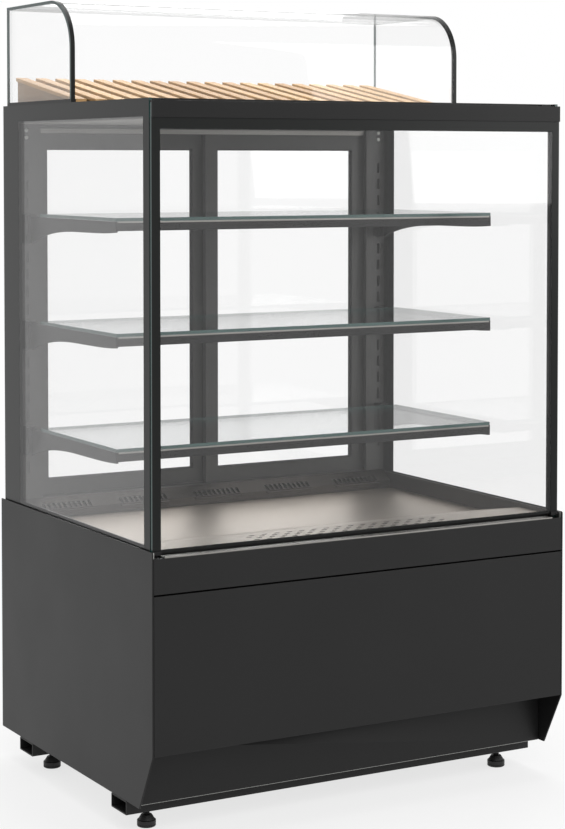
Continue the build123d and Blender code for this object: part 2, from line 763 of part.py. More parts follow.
# Rear surround, posts and sliding doors


def track_groove(door_y, z0, z1):
    """Running groove of one door in the sill or header."""
    y0 = door_y - SLIDE_GAP
    y1 = door_y + DOOR_THICK + SLIDE_GAP
    half = JAMB_OUTER_X - 10
    return block(-half, half, y0, y1, z0, z1)


def door_surround():
    """Sill, two jambs and header around the doors, as four bars."""
    front = POST_FRONT_Y
    tub_rim = GLASS_REAR_Y - TUB_WALL
    sill_points = [
        (GLASS_REAR_Y, SILL_BASE),
        (GLASS_REAR_Y, SILL_TOP),
        (front, SILL_TOP),
        (front, SILL_TOP - SILL_LIP),
        (tub_rim, SILL_TOP - SILL_LIP - 6),
        (tub_rim, SILL_BASE),
    ]
    sill = prism_x(sill_points, -JAMB_OUTER_X, JAMB_OUTER_X)
    header_points = [
        (GLASS_REAR_Y, HEADER_BOTTOM),
        (GLASS_REAR_Y, HEADER_TOP),
        (HEADER_FRONT_Y, HEADER_TOP),
        (HEADER_FRONT_Y, BEAM_LOW - CEILING_SHEET),
        (SURROUND_FRONT_Y, HEADER_BOTTOM),
    ]
    header = prism_x(header_points, -JAMB_OUTER_X, JAMB_OUTER_X)
    sill -= post_notches(SILL_BASE, SILL_TOP + 1)
    header -= post_notches(HEADER_BOTTOM - 1, BEAM_LOW)
    for door_y in (INNER_DOOR_Y, OUTER_DOOR_Y):
        sill -= track_groove(door_y, SILL_TOP - TRACK_DEPTH, SILL_TOP + 1)
        header -= track_groove(door_y, HEADER_BOTTOM - 1, DOOR_TOP + TRACK_DEPTH)
    jamb = block(JAMB_INNER_X, JAMB_OUTER_X, SURROUND_FRONT_Y, GLASS_REAR_Y, SILL_TOP, HEADER_BOTTOM)
    return group([sill, header, *both_sides(jamb)])


def slot_heights():
    """Centre heights of the slots of a post."""
    return [SLOT_FIRST_Z - n * SLOT_PITCH for n in range(SLOT_COUNT)]


def slotted_post():
    """Right shelf post: shallow channel with a row of hook slots in its front face."""
    x0 = POST_CENTRE_X - POST_WIDTH / 2
    x1 = POST_CENTRE_X + POST_WIDTH / 2
    y1 = POST_FRONT_Y + POST_DEPTH
    top = BEAM_LOW - CEILING_SHEET
    post = block(x0, x1, POST_FRONT_Y, y1, TUB_TOP, top)
    post -= block(x0 + POST_SHEET, x1 - POST_SHEET, POST_FRONT_Y + POST_SHEET, y1 + 1, TUB_TOP - 1, top + 1)
    half = SLOT_WIDTH / 2
    cutters = [
        block(
            SLOT_X - half,
            SLOT_X + half,
            POST_FRONT_Y - 1,
            POST_FRONT_Y + POST_SHEET + 1,
            z - SLOT_HEIGHT / 2,
            z + SLOT_HEIGHT / 2,
        )
        for z in slot_heights()
    ]
    return post - cutters


def door_frame(door_y):
    """Frame of the right-hand door: four stiles in one piece with a groove for the pane."""
    y0 = door_y
    y1 = door_y + DOOR_THICK
    frame = block(-DOOR_OVERLAP, DOOR_SIDE_X, y0, y1, DOOR_BOTTOM, DOOR_TOP)
    frame -= block(
        DOOR_WINDOW_INNER_X, DOOR_WINDOW_OUTER_X, y0 - 1, y1 + 1, DOOR_WINDOW_LOW, DOOR_WINDOW_HIGH
    )
    frame -= door_pane(door_y)
    grip_x = (DOOR_WINDOW_OUTER_X + DOOR_SIDE_X) / 2
    half = GRIP_WIDTH / 2
    low = GRIP_Z - GRIP_LENGTH / 2
    grip = block(grip_x - half, grip_x + half, y1 - GRIP_DEPTH, y1 + 1, low, low + GRIP_LENGTH)
    return frame - fillet(grip.edges().filter_by(Axis.Y), half - 0.5)


def door_pane(door_y):
    """Pane of the right-hand door, seated in the groove of its frame."""
    middle = door_y + DOOR_THICK / 2
    return block(
        DOOR_WINDOW_INNER_X - DOOR_GROOVE,
        DOOR_WINDOW_OUTER_X + DOOR_GROOVE,
        middle - DOOR_GLASS / 2,
        middle + DOOR_GLASS / 2,
        DOOR_WINDOW_LOW - DOOR_GROOVE,
        DOOR_WINDOW_HIGH + DOOR_GROOVE,
    )


# Fixed glazing and the tilting front glass


def side_glass():
    """Right side pane."""
    return block(
        SIDE_GLASS_INNER_X,
        SIDE_GLASS_OUTER_X,
        SIDE_GLASS_FRONT_Y,
        GLASS_REAR_Y,
        SIDE_GLASS_BOTTOM,
        GLASS_TOP,
    )


def glass_channel():
    """Channel under the right side pane, standing on the rim of the tub."""
    outer = block(
        CHANNEL_INNER_X, CHANNEL_OUTER_X, SIDE_GLASS_FRONT_Y, GLASS_REAR_Y, TUB_TOP, CHANNEL_TOP
    )
    slot = block(
        SIDE_GLASS_INNER_X - CHANNEL_FIT,
        SIDE_GLASS_OUTER_X + CHANNEL_FIT,
        SIDE_GLASS_FRONT_Y - 1,
        GLASS_REAR_Y + 1,
        SIDE_GLASS_BOTTOM,
        CHANNEL_TOP + 1,
    )
    return outer - slot


def canopy_strip():
    """Flat glazing strip under the right edge of the canopy."""
    x0 = CANOPY_HALF - CANOPY_STRIP_WIDTH
    z1 = GLASS_TOP + CANOPY_STRIP_HEIGHT
    return block(x0, CANOPY_HALF, CANOPY_FRONT_Y, CANOPY_REAR_Y, GLASS_TOP, z1)


def front_glass():
    """Front pane that tilts forward about its bottom edge."""
    half = FRONT_GLASS_HALF
    return block(-half, half, FRONT_GLASS_Y, FRONT_GLASS_BACK, FRONT_GLASS_BOTTOM, FRONT_GLASS_HIGH)


def front_glass_bar():
    """Profile clamped over the top edge of the front glass, with two grip tabs on it."""
    half = FRONT_GLASS_HALF
    front = FRONT_GLASS_Y - BAR_LIP
    bar = block(-half, half, front, FRONT_GLASS_Y, BAR_BOTTOM, BAR_TOP)
    bar += block(-half, half, FRONT_GLASS_Y, FRONT_GLASS_BACK, FRONT_GLASS_HIGH, BAR_TOP)
    back = FRONT_GLASS_BACK + BAR_BACK_LIP
    back_half = BAR_BACK_HALF
    bar += block(-back_half, back_half, FRONT_GLASS_BACK, back, BAR_BOTTOM, BAR_TOP)
    for x in (-TAB_X, TAB_X):
        w = TAB_WIDTH / 2
        bar += block(x - w, x + w, front, back, BAR_TOP, BAR_TOP + TAB_HEIGHT)
    return bar


def pivot_shoe():
    """Right clamp on the bottom corner of the front glass, with its pivot pin."""
    outer_x = FRONT_GLASS_HALF
    shoe = block(
        SHOE_INNER_X,
        outer_x,
        FRONT_GLASS_Y - SHOE_WALL,
        FRONT_GLASS_BACK,
        SHOE_LOW,
        SHOE_HIGH,
    )
    shoe -= block(
        SHOE_INNER_X - 1,
        outer_x + 1,
        FRONT_GLASS_Y,
        FRONT_GLASS_BACK + 1,
        FRONT_GLASS_BOTTOM,
        SHOE_HIGH + 1,
    )
    pin_end = SIDE_INNER_X - SEAT_GAP
    return shoe + rod_x(PIVOT_PIN_RADIUS, outer_x - PIN_ROOT, pin_end, PIVOT_Y, PIVOT_Z)


def pivot_bracket():
    """Right bracket plate that carries the pivot pin, fixed to the side panel."""
    x1 = SIDE_INNER_X
    x0 = x1 - BRACKET_THICK
    back = SIDE_GLASS_FRONT_Y - BRACKET_REAR_GAP
    plate = block(x0, x1, FRONT_Y + BRACKET_FRONT_GAP, back, BRACKET_LOW, PANEL_TOP - 1)
    plate -= rod_x(PIVOT_PIN_RADIUS + PIVOT_GAP, x0 - 1, x1 + 1, PIVOT_Y, PIVOT_Z)
    g = FASCIA_NOTCH_GAP
    return_cut = block(
        x0 - 1,
        PANEL_HALF + CHANNEL_FIT,
        FRONT_Y,
        FRONT_SHEET_Y + PANEL_RETURN + g,
        FASCIA_TOP - SHEET - g,
        FASCIA_TOP + g,
    )
    return plate - return_cut


def glass_catches():
    """Magnet catches on the front beam that hold the front glass shut."""
    front = FRONT_GLASS_BACK + BAR_BACK_LIP + SEAT_GAP
    w = TAB_WIDTH / 2
    x = TAB_X
    right = block(x - w, x + w, front, BEAM_FRONT_Y, CATCH_LOW, CATCH_LOW + CATCH_HEIGHT)
    return group(both_sides(right))


# Top of the case and the canopy


def top_frame():
    """Rectangle of box beams between the side panes."""
    half = TOP_HALF - 0.5
    outer = block(-half, half, BEAM_FRONT_Y, HEADER_FRONT_Y, BEAM_LOW, TOP_PLATE_Z)
    inner = half - BEAM_WIDTH
    room = block(
        -inner, inner, BEAM_FRONT_Y + BEAM_WIDTH, HEADER_FRONT_Y - BEAM_WIDTH, BEAM_LOW - 1, TOP_PLATE_Z + 1
    )
    return outer - room


def top_panel():
    """Top plate that closes the case and carries the canopy."""
    return block(-TOP_HALF, TOP_HALF, TOP_FRONT_Y, GLASS_REAR_Y, TOP_PLATE_Z, GLASS_TOP)


def ceiling_panel():
    """Sheet ceiling under the top frame."""
    half = TOP_HALF - 0.5
    return block(-half, half, BEAM_FRONT_Y, HEADER_FRONT_Y, BEAM_LOW - CEILING_SHEET, BEAM_LOW)


def led_lamp():
    """Lamp bar under the front of the ceiling."""
    top = BEAM_LOW - CEILING_SHEET
    front = LAMP_FRONT_Y
    lamp = block(-LAMP_HALF, LAMP_HALF, front, front + LAMP_DEPTH, top - LAMP_HEIGHT, top)
    return fillet(lamp.edges().filter_by(Axis.X).group_by(Axis.Z)[0], LAMP_EDGE_RADIUS)


def canopy_profile(inset, front_shift):
    """Face in the YZ plane under a rounded front-top corner, drawn inset from the outside."""
    y0 = CANOPY_FRONT_Y + inset
    y1 = CANOPY_REAR_Y
    z0 = GLASS_TOP + CANOPY_STRIP_HEIGHT
    z1 = CANOPY_TOP - inset
    r = CANOPY_RADIUS - inset
    half = math.sqrt(0.5)
    centre = (y0 + r, z1 - r)
    arc = ThreePointArc((y0, z1 - r), (centre[0] - r * half, centre[1] + r * half), (y0 + r, z1))
    lines = [
        Line((y0 + r, z1), (y1, z1)),
        Line((y1, z1), (y1, z0 - front_shift)),
        Line((y1, z0 - front_shift), (y0, z0 - front_shift)),
        Line((y0, z0 - front_shift), (y0, z1 - r)),
    ]
    return make_face([arc, *lines])


def canopy_side():
    """Right side pane of the canopy."""
    x0 = CANOPY_HALF - GLASS
    face = canopy_profile(GLASS + CANOPY_SEAM, 0)
    return extrude(Plane.YZ.offset(x0) * face, amount=GLASS)


def canopy_curved_glass():
    """Bent pane that forms the front and the top of the canopy."""
    half = CANOPY_HALF
    outer = extrude(Plane.YZ.offset(-half) * canopy_profile(0, 0), amount=2 * half)
    inner_face = canopy_profile(GLASS, 2)
    inner = extrude(Plane.YZ.offset(-half - 1) * inner_face, amount=2 * half + 2)
    rear = block(
        -half - 1,
        half + 1,
        CANOPY_REAR_Y - 1,
        CANOPY_REAR_Y + 1,
        GLASS_TOP - 5,
        CANOPY_TOP - GLASS,
    )
    return outer - inner - rear


# Bread rack


def slat_underside(y):
    """Height of the underside of the slats above a point y."""
    cosine = 1 / math.sqrt(1 + RACK_SLOPE**2)
    return RACK_FRONT_Z + (y - RACK_FRONT_Y) * RACK_SLOPE - SLAT_THICK / cosine


def rack_slat(x0):
    """One sloping slat."""
    y0 = RACK_FRONT_Y
    y1 = RACK_REAR_Y
    rise = SLAT_THICK * math.sqrt(1 + RACK_SLOPE**2)
    points = [
        (y0, RACK_FRONT_Z),
        (y0, RACK_FRONT_Z - rise),
        (y1, RACK_REAR_Z - rise),
        (y1, RACK_REAR_Z),
    ]
    slat = prism_x(points, x0, x0 + SLAT_WIDTH)
    long_edges = slat.edges().filter_by(lambda edge: edge.length > 2 * SLAT_WIDTH)
    return fillet(long_edges, SLAT_EDGE_RADIUS)


def rack_slats():
    """All slats of the rack."""
    pitch = (2 * RACK_HALF - SLAT_WIDTH) / (SLAT_COUNT - 1)
    return group([rack_slat(-RACK_HALF + n * pitch) for n in range(SLAT_COUNT)])


def rack_boards():
    """Wedge boards under the outer slats and two battens across."""
    low = GLASS_TOP + SEAT_GAP
    rear = RACK_REAR_Y - BOARD_INSET
    start = RACK_FRONT_Y + (low + 2.0 - slat_underside(RACK_FRONT_Y)) / RACK_SLOPE
    outer = CANOPY_HALF - CANOPY_STRIP_WIDTH - BOARD_SIDE_GAP - BOARD_THICK
    outer = min(outer, RACK_HALF - BOARD_SIDE_GAP - BOARD_THICK)
    wedge = [
        (start, low),
        (rear, low),
        (rear, slat_underside(rear)),
        (start, slat_underside(start)),
    ]
    pieces = both_sides(prism_x(wedge, outer, outer + BOARD_THICK))
    for y in BATTEN_Y:
        far = y + BATTEN_DEPTH
        points = [
            (y, slat_underside(y) - BATTEN_HEIGHT),
            (far, slat_underside(far) - BATTEN_HEIGHT),
            (far, slat_underside(far)),
            (y, slat_underside(y)),
        ]
        pieces.append(prism_x(points, -outer, outer))
    return group(pieces)


# Shelves


def shelf_glass(top):
    """One shelf pane."""
    return block(-SHELF_HALF, SHELF_HALF, SHELF_FRONT_Y, SHELF_REAR_Y, top - GLASS, top)


def shelf_rail(top):
    """Front rail under the edge of a shelf pane, with a ledge for the glass."""
    half = SLOT_X - ARM_THICK / 2
    z1 = top - GLASS - SEAT_GAP
    y0 = SHELF_FRONT_Y
    wall = block(-half, half, y0, y0 + SHELF_RAIL_WALL, z1 - SHELF_RAIL_HEIGHT, z1)
    ledge = block(-half, half, y0, y0 + SHELF_RAIL_LEDGE, z1 - SHELF_RAIL_WALL, z1)
    return wall + ledge


def shelf_bracket(top):
    """Right cantilever bracket: curved arm, boss on the post and two hooks."""
    z1 = top - GLASS - SEAT_GAP
    root_y = POST_FRONT_Y - BOSS_DEPTH
    middle_y = (SHELF_FRONT_Y + root_y) / 2
    tip = (SHELF_FRONT_Y, top - ARM_TIP_DROP)
    middle = (middle_y, top - ARM_MIDDLE_DROP)
    rear = (SHELF_REAR_Y - BOSS_DEPTH, top - ARM_REAR_DROP)
    root = (root_y, top - ARM_ROOT_DROP)
    outline = [
        Spline(tip, middle, rear, root),
        Line(root, (POST_FRONT_Y, top - ARM_ROOT_DROP)),
        Line((POST_FRONT_Y, top - ARM_ROOT_DROP), (POST_FRONT_Y, z1)),
        Line((POST_FRONT_Y, z1), (SHELF_FRONT_Y, z1)),
        Line((SHELF_FRONT_Y, z1), tip),
    ]
    x0 = SLOT_X - ARM_THICK / 2
    arm = extrude(Plane.YZ.offset(x0) * make_face(outline), amount=ARM_THICK)
    half = BOSS_WIDTH / 2
    boss_top = top - GLASS / 2
    boss = block(
        SLOT_X - half, SLOT_X + half, root_y, POST_FRONT_Y, top - ARM_ROOT_DROP, boss_top
    )
    bracket = arm + boss
    heights = [z for z in slot_heights() if top - ARM_ROOT_DROP < z < boss_top]
    for z in heights:
        hook_back = POST_FRONT_Y + POST_SHEET + HOOK_REACH
        low = z - SLOT_HEIGHT / 2 + SEAT_GAP
        bracket += block(x0, x0 + ARM_THICK, POST_FRONT_Y - 1, hook_back, low, low + HOOK_HEIGHT)
    return bracket


# Refrigeration machinery


def fan_rotor(radius, x, y, z):
    """Axial fan wheel that turns about Y: hub, bored for its shaft, and pitched blades."""
    hub = rod_y(FAN_HUB_RADIUS, y, y + FAN_DEPTH, x, z)
    rotor = hub
    reach = radius - FAN_HUB_RADIUS + 2
    for n in range(FAN_BLADES):
        blade = Pos(0, 0, FAN_HUB_RADIUS - 2 + reach / 2) * Rot(0, 0, BLADE_PITCH)
        blade = blade * Box(reach * 0.75, BLADE_THICK, reach)
        turn = Pos(x, y + FAN_DEPTH / 2, z) * Rot(0, n * 360 / FAN_BLADES, 0)
        rotor += turn * blade
    span = rod_y(radius, y - FAN_DEPTH * 2, y + FAN_DEPTH * 3, x, z)
    return rotor & span


def bored_rotor(radius, x, y, z):
    """Fan wheel with a running bore over the motor shaft."""
    bore_depth = FAN_DEPTH * 0.7
    return fan_rotor(radius, x, y, z) - rod_y(
        SHAFT_RADIUS + PIVOT_GAP, y - 1, y + bore_depth, x, z
    )


def fan_motor(x, rotor_y, z, foot_z):
    """Fan motor in front of its wheel, with shaft and a stem down to the floor."""
    back = rotor_y - MOTOR_GAP
    front = back - MOTOR_LENGTH
    body = rod_y(MOTOR_RADIUS, front, back, x, z)
    shaft = rod_y(SHAFT_RADIUS, back - 1, rotor_y + FAN_DEPTH * FAN_SHAFT_SHARE, x, z)
    w = MOTOR_STEM_HALF
    stem_y = front + MOTOR_STEM_SETBACK
    stem = block(x - w, x + w, stem_y, stem_y + MOTOR_STEM_DEPTH, foot_z, z)
    f = MOTOR_FOOT_HALF
    foot_plate = block(
        x - f, x + f, front, front + MOTOR_FOOT_DEPTH, foot_z, foot_z + MOTOR_FOOT_THICK
    )
    return body + shaft + stem + foot_plate


def condenser_centre():
    """Place of the condenser fan axis."""
    x = (CONDENSER_X[0] + CONDENSER_X[1]) / 2
    z = FLOOR_TOP + CONDENSER_LIFT + CONDENSER_HEIGHT / 2
    return x, CONDENSER_Y[0] - CONDENSER_FAN_SETBACK, z


def evaporator_centre():
    """Place of the evaporator fan axis."""
    x = (EVAPORATOR_X[0] + EVAPORATOR_X[1]) / 2
    z = TUB_FLOOR + EVAPORATOR_LIFT + EVAPORATOR_HEIGHT / 2 + EVAPORATOR_FAN_LIFT
    return x, EVAPORATOR_Y[0] - EVAPORATOR_FAN_SETBACK, z


def coil_rows(y_range):
    """Number of tube rows over the depth of a coil."""
    return max(2, int((y_range[1] - y_range[0]) // COIL_ROW_PITCH))


def coil_levels(height):
    """Number of tubes over the height of a coil."""
    return max(3, int(height // COIL_LEVEL_PITCH))


def coil_tube(y_range, z0, height, row, level):
    """Centre (y, z) of one tube of a coil."""
    y = y_range[0] + (row + 0.5) * (y_range[1] - y_range[0]) / coil_rows(y_range)
    z = z0 + (level + 0.5) * height / coil_levels(height)
    return y, z


def finned_coil(x_range, y_range, z0, height):
    """Coil block: thin upright fins on rows of round tubes, between two end plates."""
    x0, x1 = x_range
    y0, y1 = y_range
    pitch = (x1 - x0 - FIN_THICK) / (FIN_COUNT - 1)
    tubes = []
    for row in range(coil_rows(y_range)):
        for level in range(coil_levels(height)):
            y, z = coil_tube(y_range, z0, height, row, level)
            tubes.append(rod_x(COIL_TUBE_RADIUS, x0 - COIL_TUBE_END, x1 + COIL_TUBE_END, y, z))
    fins = [
        block(x0 + n * pitch, x0 + n * pitch + FIN_THICK, y0, y1, z0, z0 + height)
        for n in range(FIN_COUNT)
    ]
    return tubes[0].fuse(*tubes[1:], *fins)


def condenser():
    """Condenser coil on the floor pan behind the rear air slots."""
    coil = finned_coil(CONDENSER_X, CONDENSER_Y, FLOOR_TOP + CONDENSER_LIFT, CONDENSER_HEIGHT)
    foot_top = FLOOR_TOP + CONDENSER_LIFT
    for x in CONDENSER_X:
        coil += block(x - 3, x + 3, CONDENSER_Y[0], CONDENSER_Y[1], FLOOR_TOP, foot_top + 4)
    return coil


def evaporator():
    """Evaporator coil on the floor of the tub."""
    coil = finned_coil(EVAPORATOR_X, EVAPORATOR_Y, TUB_FLOOR + EVAPORATOR_LIFT, EVAPORATOR_HEIGHT)
    foot_top = TUB_FLOOR + EVAPORATOR_LIFT
    for x in EVAPORATOR_X:
        coil += block(x - 3, x + 3, EVAPORATOR_Y[0], EVAPORATOR_Y[1], TUB_FLOOR, foot_top + 4)
    return coil


def fan_plates():
    """Upright plates with a round mouth around each fan wheel."""
    cx, cy, cz = condenser_centre()
    plate_y = cy + FAN_DEPTH / 2
    z0 = FLOOR_TOP
    top = z0 + CONDENSER_LIFT + CONDENSER_HEIGHT
    condenser_plate = block(CONDENSER_X[0], CONDENSER_X[1], plate_y, plate_y + PLATE_THICK, z0, top)
    condenser_plate -= rod_y(CONDENSER_FAN_RADIUS + FAN_TIP_GAP, plate_y - 1, plate_y + 5, cx, cz)
    ex, ey, ez = evaporator_centre()
    plate_y = ey + FAN_DEPTH / 2
    half = PANEL_HALF - TUB_WALL
    top = TUB_TOP - 3
    evaporator_plate = block(-half, half, plate_y, plate_y + PLATE_THICK, TUB_FLOOR, top)
    evaporator_plate -= rod_y(EVAPORATOR_FAN_RADIUS + FAN_TIP_GAP, plate_y - 1, plate_y + 5, ex, ez)
    return group([condenser_plate, evaporator_plate])


def fan_motors():
    """Motors of the condenser fan and the evaporator fan."""
    cx, cy, cz = condenser_centre()
    ex, ey, ez = evaporator_centre()
    return group([fan_motor(cx, cy, cz, FLOOR_TOP), fan_motor(ex, ey, ez, TUB_FLOOR)])


def compressor():
    """Hermetic compressor: domed shell on four short posts."""
    low = FLOOR_TOP + COMPRESSOR_MOUNT_HEIGHT
    r = COMPRESSOR_RADIUS
    shell = rod_z(r, low, low + COMPRESSOR_HEIGHT, COMPRESSOR_X, COMPRESSOR_Y)
    rims = shell.edges().filter_by(GeomType.CIRCLE)
    shell = fillet(rims, r * COMPRESSOR_DOME_SHARE)
    plate_half = r * COMPRESSOR_PLATE_SHARE
    plate = block(
        COMPRESSOR_X - plate_half,
        COMPRESSOR_X + plate_half,
        COMPRESSOR_Y - plate_half,
        COMPRESSOR_Y + plate_half,
        low,
        low + COMPRESSOR_PLATE_THICK,
    )
    body = shell + plate
    for sx in (-1, 1):
        for sy in (-1, 1):
            x = COMPRESSOR_X + sx * (plate_half - COMPRESSOR_POST_INSET)
            y = COMPRESSOR_Y + sy * (plate_half - COMPRESSOR_POST_INSET)
            body += rod_z(COMPRESSOR_POST_RADIUS, FLOOR_TOP, low + 1, x, y)
    cover_x = COMPRESSOR_X - r
    cover_z = low + COMPRESSOR_HEIGHT * TERMINAL_SHARE
    body += block(
        cover_x - TERMINAL_REACH,
        cover_x + TERMINAL_ROOT,
        COMPRESSOR_Y - TERMINAL_HALF,
        COMPRESSOR_Y + TERMINAL_HALF,
        cover_z,
        cover_z + TERMINAL_HEIGHT,
    )
    for y, z in (discharge_port(), suction_port()):
        body += rod_x(PORT_RADIUS, COMPRESSOR_X, COMPRESSOR_X + r + PORT_LENGTH, y, z)
    return body


def pipe(points):
    """Copper pipe with rounded bends through a few points."""
    path = FilletPolyline(*points, radius=PIPE_BEND)
    start = Plane(origin=path @ 0, z_dir=path % 0)
    return sweep(start * Circle(PIPE_RADIUS), path=path)


def discharge_port():
    """Place (y, z) of the discharge stub on the compressor."""
    low = FLOOR_TOP + COMPRESSOR_MOUNT_HEIGHT
    return COMPRESSOR_Y + DISCHARGE_OFFSET, low + COMPRESSOR_HEIGHT * DISCHARGE_SHARE


def suction_port():
    """Place (y, z) of the suction stub on the compressor."""
    low = FLOOR_TOP + COMPRESSOR_MOUNT_HEIGHT
    return COMPRESSOR_Y + SUCTION_OFFSET, low + COMPRESSOR_HEIGHT * SUCTION_SHARE


def refrigerant_lines():
    """Discharge, liquid and suction pipes, and the filter drier on the liquid line."""
    port_x = COMPRESSOR_X + COMPRESSOR_RADIUS + PORT_LENGTH
    coil_x = CONDENSER_X[0] - COIL_TUBE_END
    coil_z = FLOOR_TOP + CONDENSER_LIFT
    levels = coil_levels(CONDENSER_HEIGHT)
    hot_y, hot_z = coil_tube(CONDENSER_Y, coil_z, CONDENSER_HEIGHT, 0, levels - 1)
    cool_y, cool_z = coil_tube(CONDENSER_Y, coil_z, CONDENSER_HEIGHT, 1, 1)
    port_y, port_z = discharge_port()
    hot_x = port_x + PIPE_RUN
    hot_route = [(port_x, port_y, port_z), (hot_x, port_y, port_z), (hot_x, hot_y, port_z)]
    discharge = pipe([*hot_route, (hot_x, hot_y, hot_z), (coil_x, hot_y, hot_z)])
    drier_x = coil_x - PIPE_RUN / 2
    drier_y = cool_y - 2 * PIPE_RUN
    cool_route = [(coil_x, cool_y, cool_z), (drier_x, cool_y, cool_z), (drier_x, drier_y, cool_z)]
    liquid = pipe([*cool_route, (drier_x, drier_y, TUB_BOTTOM)])
    drier_low = cool_z + PIPE_RUN
    liquid += rod_z(DRIER_RADIUS, drier_low, drier_low + DRIER_LENGTH, drier_x, drier_y)
    port_y, port_z = suction_port()
    cold_route = [(port_x, port_y, port_z), (port_x + PIPE_RUN, port_y, port_z)]
    suction = pipe([*cold_route, (port_x + PIPE_RUN, port_y, TUB_BOTTOM)])
    return group([discharge, liquid, suction])


def condensate_tray():
    """Open tray that slides out at the rear, with a pull lip."""
    x0, x1 = TRAY_X
    z0 = FLOOR_TOP + TRAY_LIFT
    z1 = z0 + TRAY_HEIGHT
    y1 = REAR_SKIN_Y
    y0 = y1 - TRAY_DEPTH
    tray = block(x0, x1, y0, y1, z0, z1)
    t = TRAY_WALL
    tray -= block(x0 + t, x1 - t, y0 + t, y1 - t - TRAY_LIP, z0 + t, z1 + 1)
    middle = (x0 + x1) / 2
    w = TRAY_GRIP_HALF
    grip = block(
        middle - w, middle + w, y1 - TRAY_LIP, y1 + 1, z1 - TRAY_GRIP_LOW, z1 - TRAY_GRIP_HIGH
    )
    return tray - grip


# Controls and power inlet


def controller():
    """Digital temperature controller with a display window and two key holes."""
    half = CONTROLLER_WIDTH / 2
    z0 = CONTROL_Z - CONTROLLER_HEIGHT / 2
    z1 = CONTROL_Z + CONTROLLER_HEIGHT / 2
    x0 = CONTROLLER_X - half + SEAT_GAP
    x1 = CONTROLLER_X + half - SEAT_GAP
    body_front = REAR_PANEL_Y - CONTROLLER_DEPTH
    body = block(x0, x1, body_front, REAR_SKIN_Y, z0 + SEAT_GAP, z1 - SEAT_GAP)
    b = CONTROLLER_BEZEL
    face_y = REAR_SKIN_Y + CONTROLLER_BEZEL_THICK
    bezel = block(
        CONTROLLER_X - half - b, CONTROLLER_X + half + b, REAR_SKIN_Y, face_y, z0 - b, z1 + b
    )
    bezel = fillet(bezel.edges().filter_by(Axis.Y), 2.0)
    display_x = CONTROLLER_X + 12
    window = block(
        display_x - DISPLAY_WIDTH / 2,
        display_x + DISPLAY_WIDTH / 2,
        face_y - DISPLAY_RECESS,
        face_y + 1,
        CONTROL_Z - DISPLAY_HEIGHT / 2,
        CONTROL_Z + DISPLAY_HEIGHT / 2,
    )
    whole = body + bezel - window
    for x in key_places():
        whole -= rod_y(KEY_RADIUS + KEY_GAP, face_y - KEY_DEPTH - 2, face_y + 1, x, CONTROL_Z)
    return whole


def key_places():
    """X places of the two keys, left of the display as seen from the staff side."""
    return [CONTROLLER_X - offset for offset in KEY_OFFSETS]


def controller_key(x):
    """Round key that travels into the controller."""
    face_y = REAR_SKIN_Y + CONTROLLER_BEZEL_THICK
    key = rod_y(KEY_RADIUS, face_y - KEY_DEPTH, face_y + KEY_STAND, x, CONTROL_Z)
    return fillet(key.edges().group_by(Axis.Y)[-1], 0.5)


def switch_body():
    """Housing of the light switch with a pocket for its rocker."""
    half = SWITCH_WIDTH / 2
    z0 = CONTROL_Z - SWITCH_HEIGHT / 2
    z1 = CONTROL_Z + SWITCH_HEIGHT / 2
    b = SWITCH_BEZEL
    face_y = REAR_SKIN_Y + SHEET
    x0 = SWITCH_X - half + SEAT_GAP
    x1 = SWITCH_X + half - SEAT_GAP
    body_front = REAR_PANEL_Y - SWITCH_DEPTH
    body = block(x0, x1, body_front, REAR_SKIN_Y, z0 + SEAT_GAP, z1 - SEAT_GAP)
    body += block(SWITCH_X - half - b, SWITCH_X + half + b, REAR_SKIN_Y, face_y, z0 - b, z1 + b)
    wall = SWITCH_WALL
    body -= block(
        SWITCH_X - half + wall, SWITCH_X + half - wall, REAR_PANEL_Y - 8, face_y + 1, z0 + wall, z1 - wall
    )
    reach = half - wall + SWITCH_PIN_REACH + 0.1
    bore = SWITCH_PIN_RADIUS + PIVOT_GAP
    return body - rod_x(bore, SWITCH_X - reach, SWITCH_X + reach, REAR_SKIN_Y, CONTROL_Z)


def light_switch():
    """Rocker of the light switch, tilted to its off position."""
    half = SWITCH_WIDTH / 2 - SWITCH_WALL - SWITCH_GAP
    pin_half = SWITCH_WIDTH / 2 - SWITCH_WALL + SWITCH_PIN_REACH
    height = SWITCH_HEIGHT - 2 * SWITCH_WALL - 2 * SWITCH_GAP - 1.0
    low = -4.0
    high = 3.5
    points = [
        (low, -height / 2 + 2),
        (low, height / 2 - 2),
        (high - 1.5, height / 2),
        (high, height / 2 - 0.5),
        (high - 1.2, 0),
        (high, -height / 2 + 0.5),
        (high - 1.5, -height / 2),
    ]
    rocker = prism_x(points, -half, half) + rod_x(SWITCH_PIN_RADIUS, -pin_half, pin_half, 0, 0)
    return Pos(SWITCH_X, REAR_SKIN_Y, CONTROL_Z) * Rot(SWITCH_TILT, 0, 0) * rocker


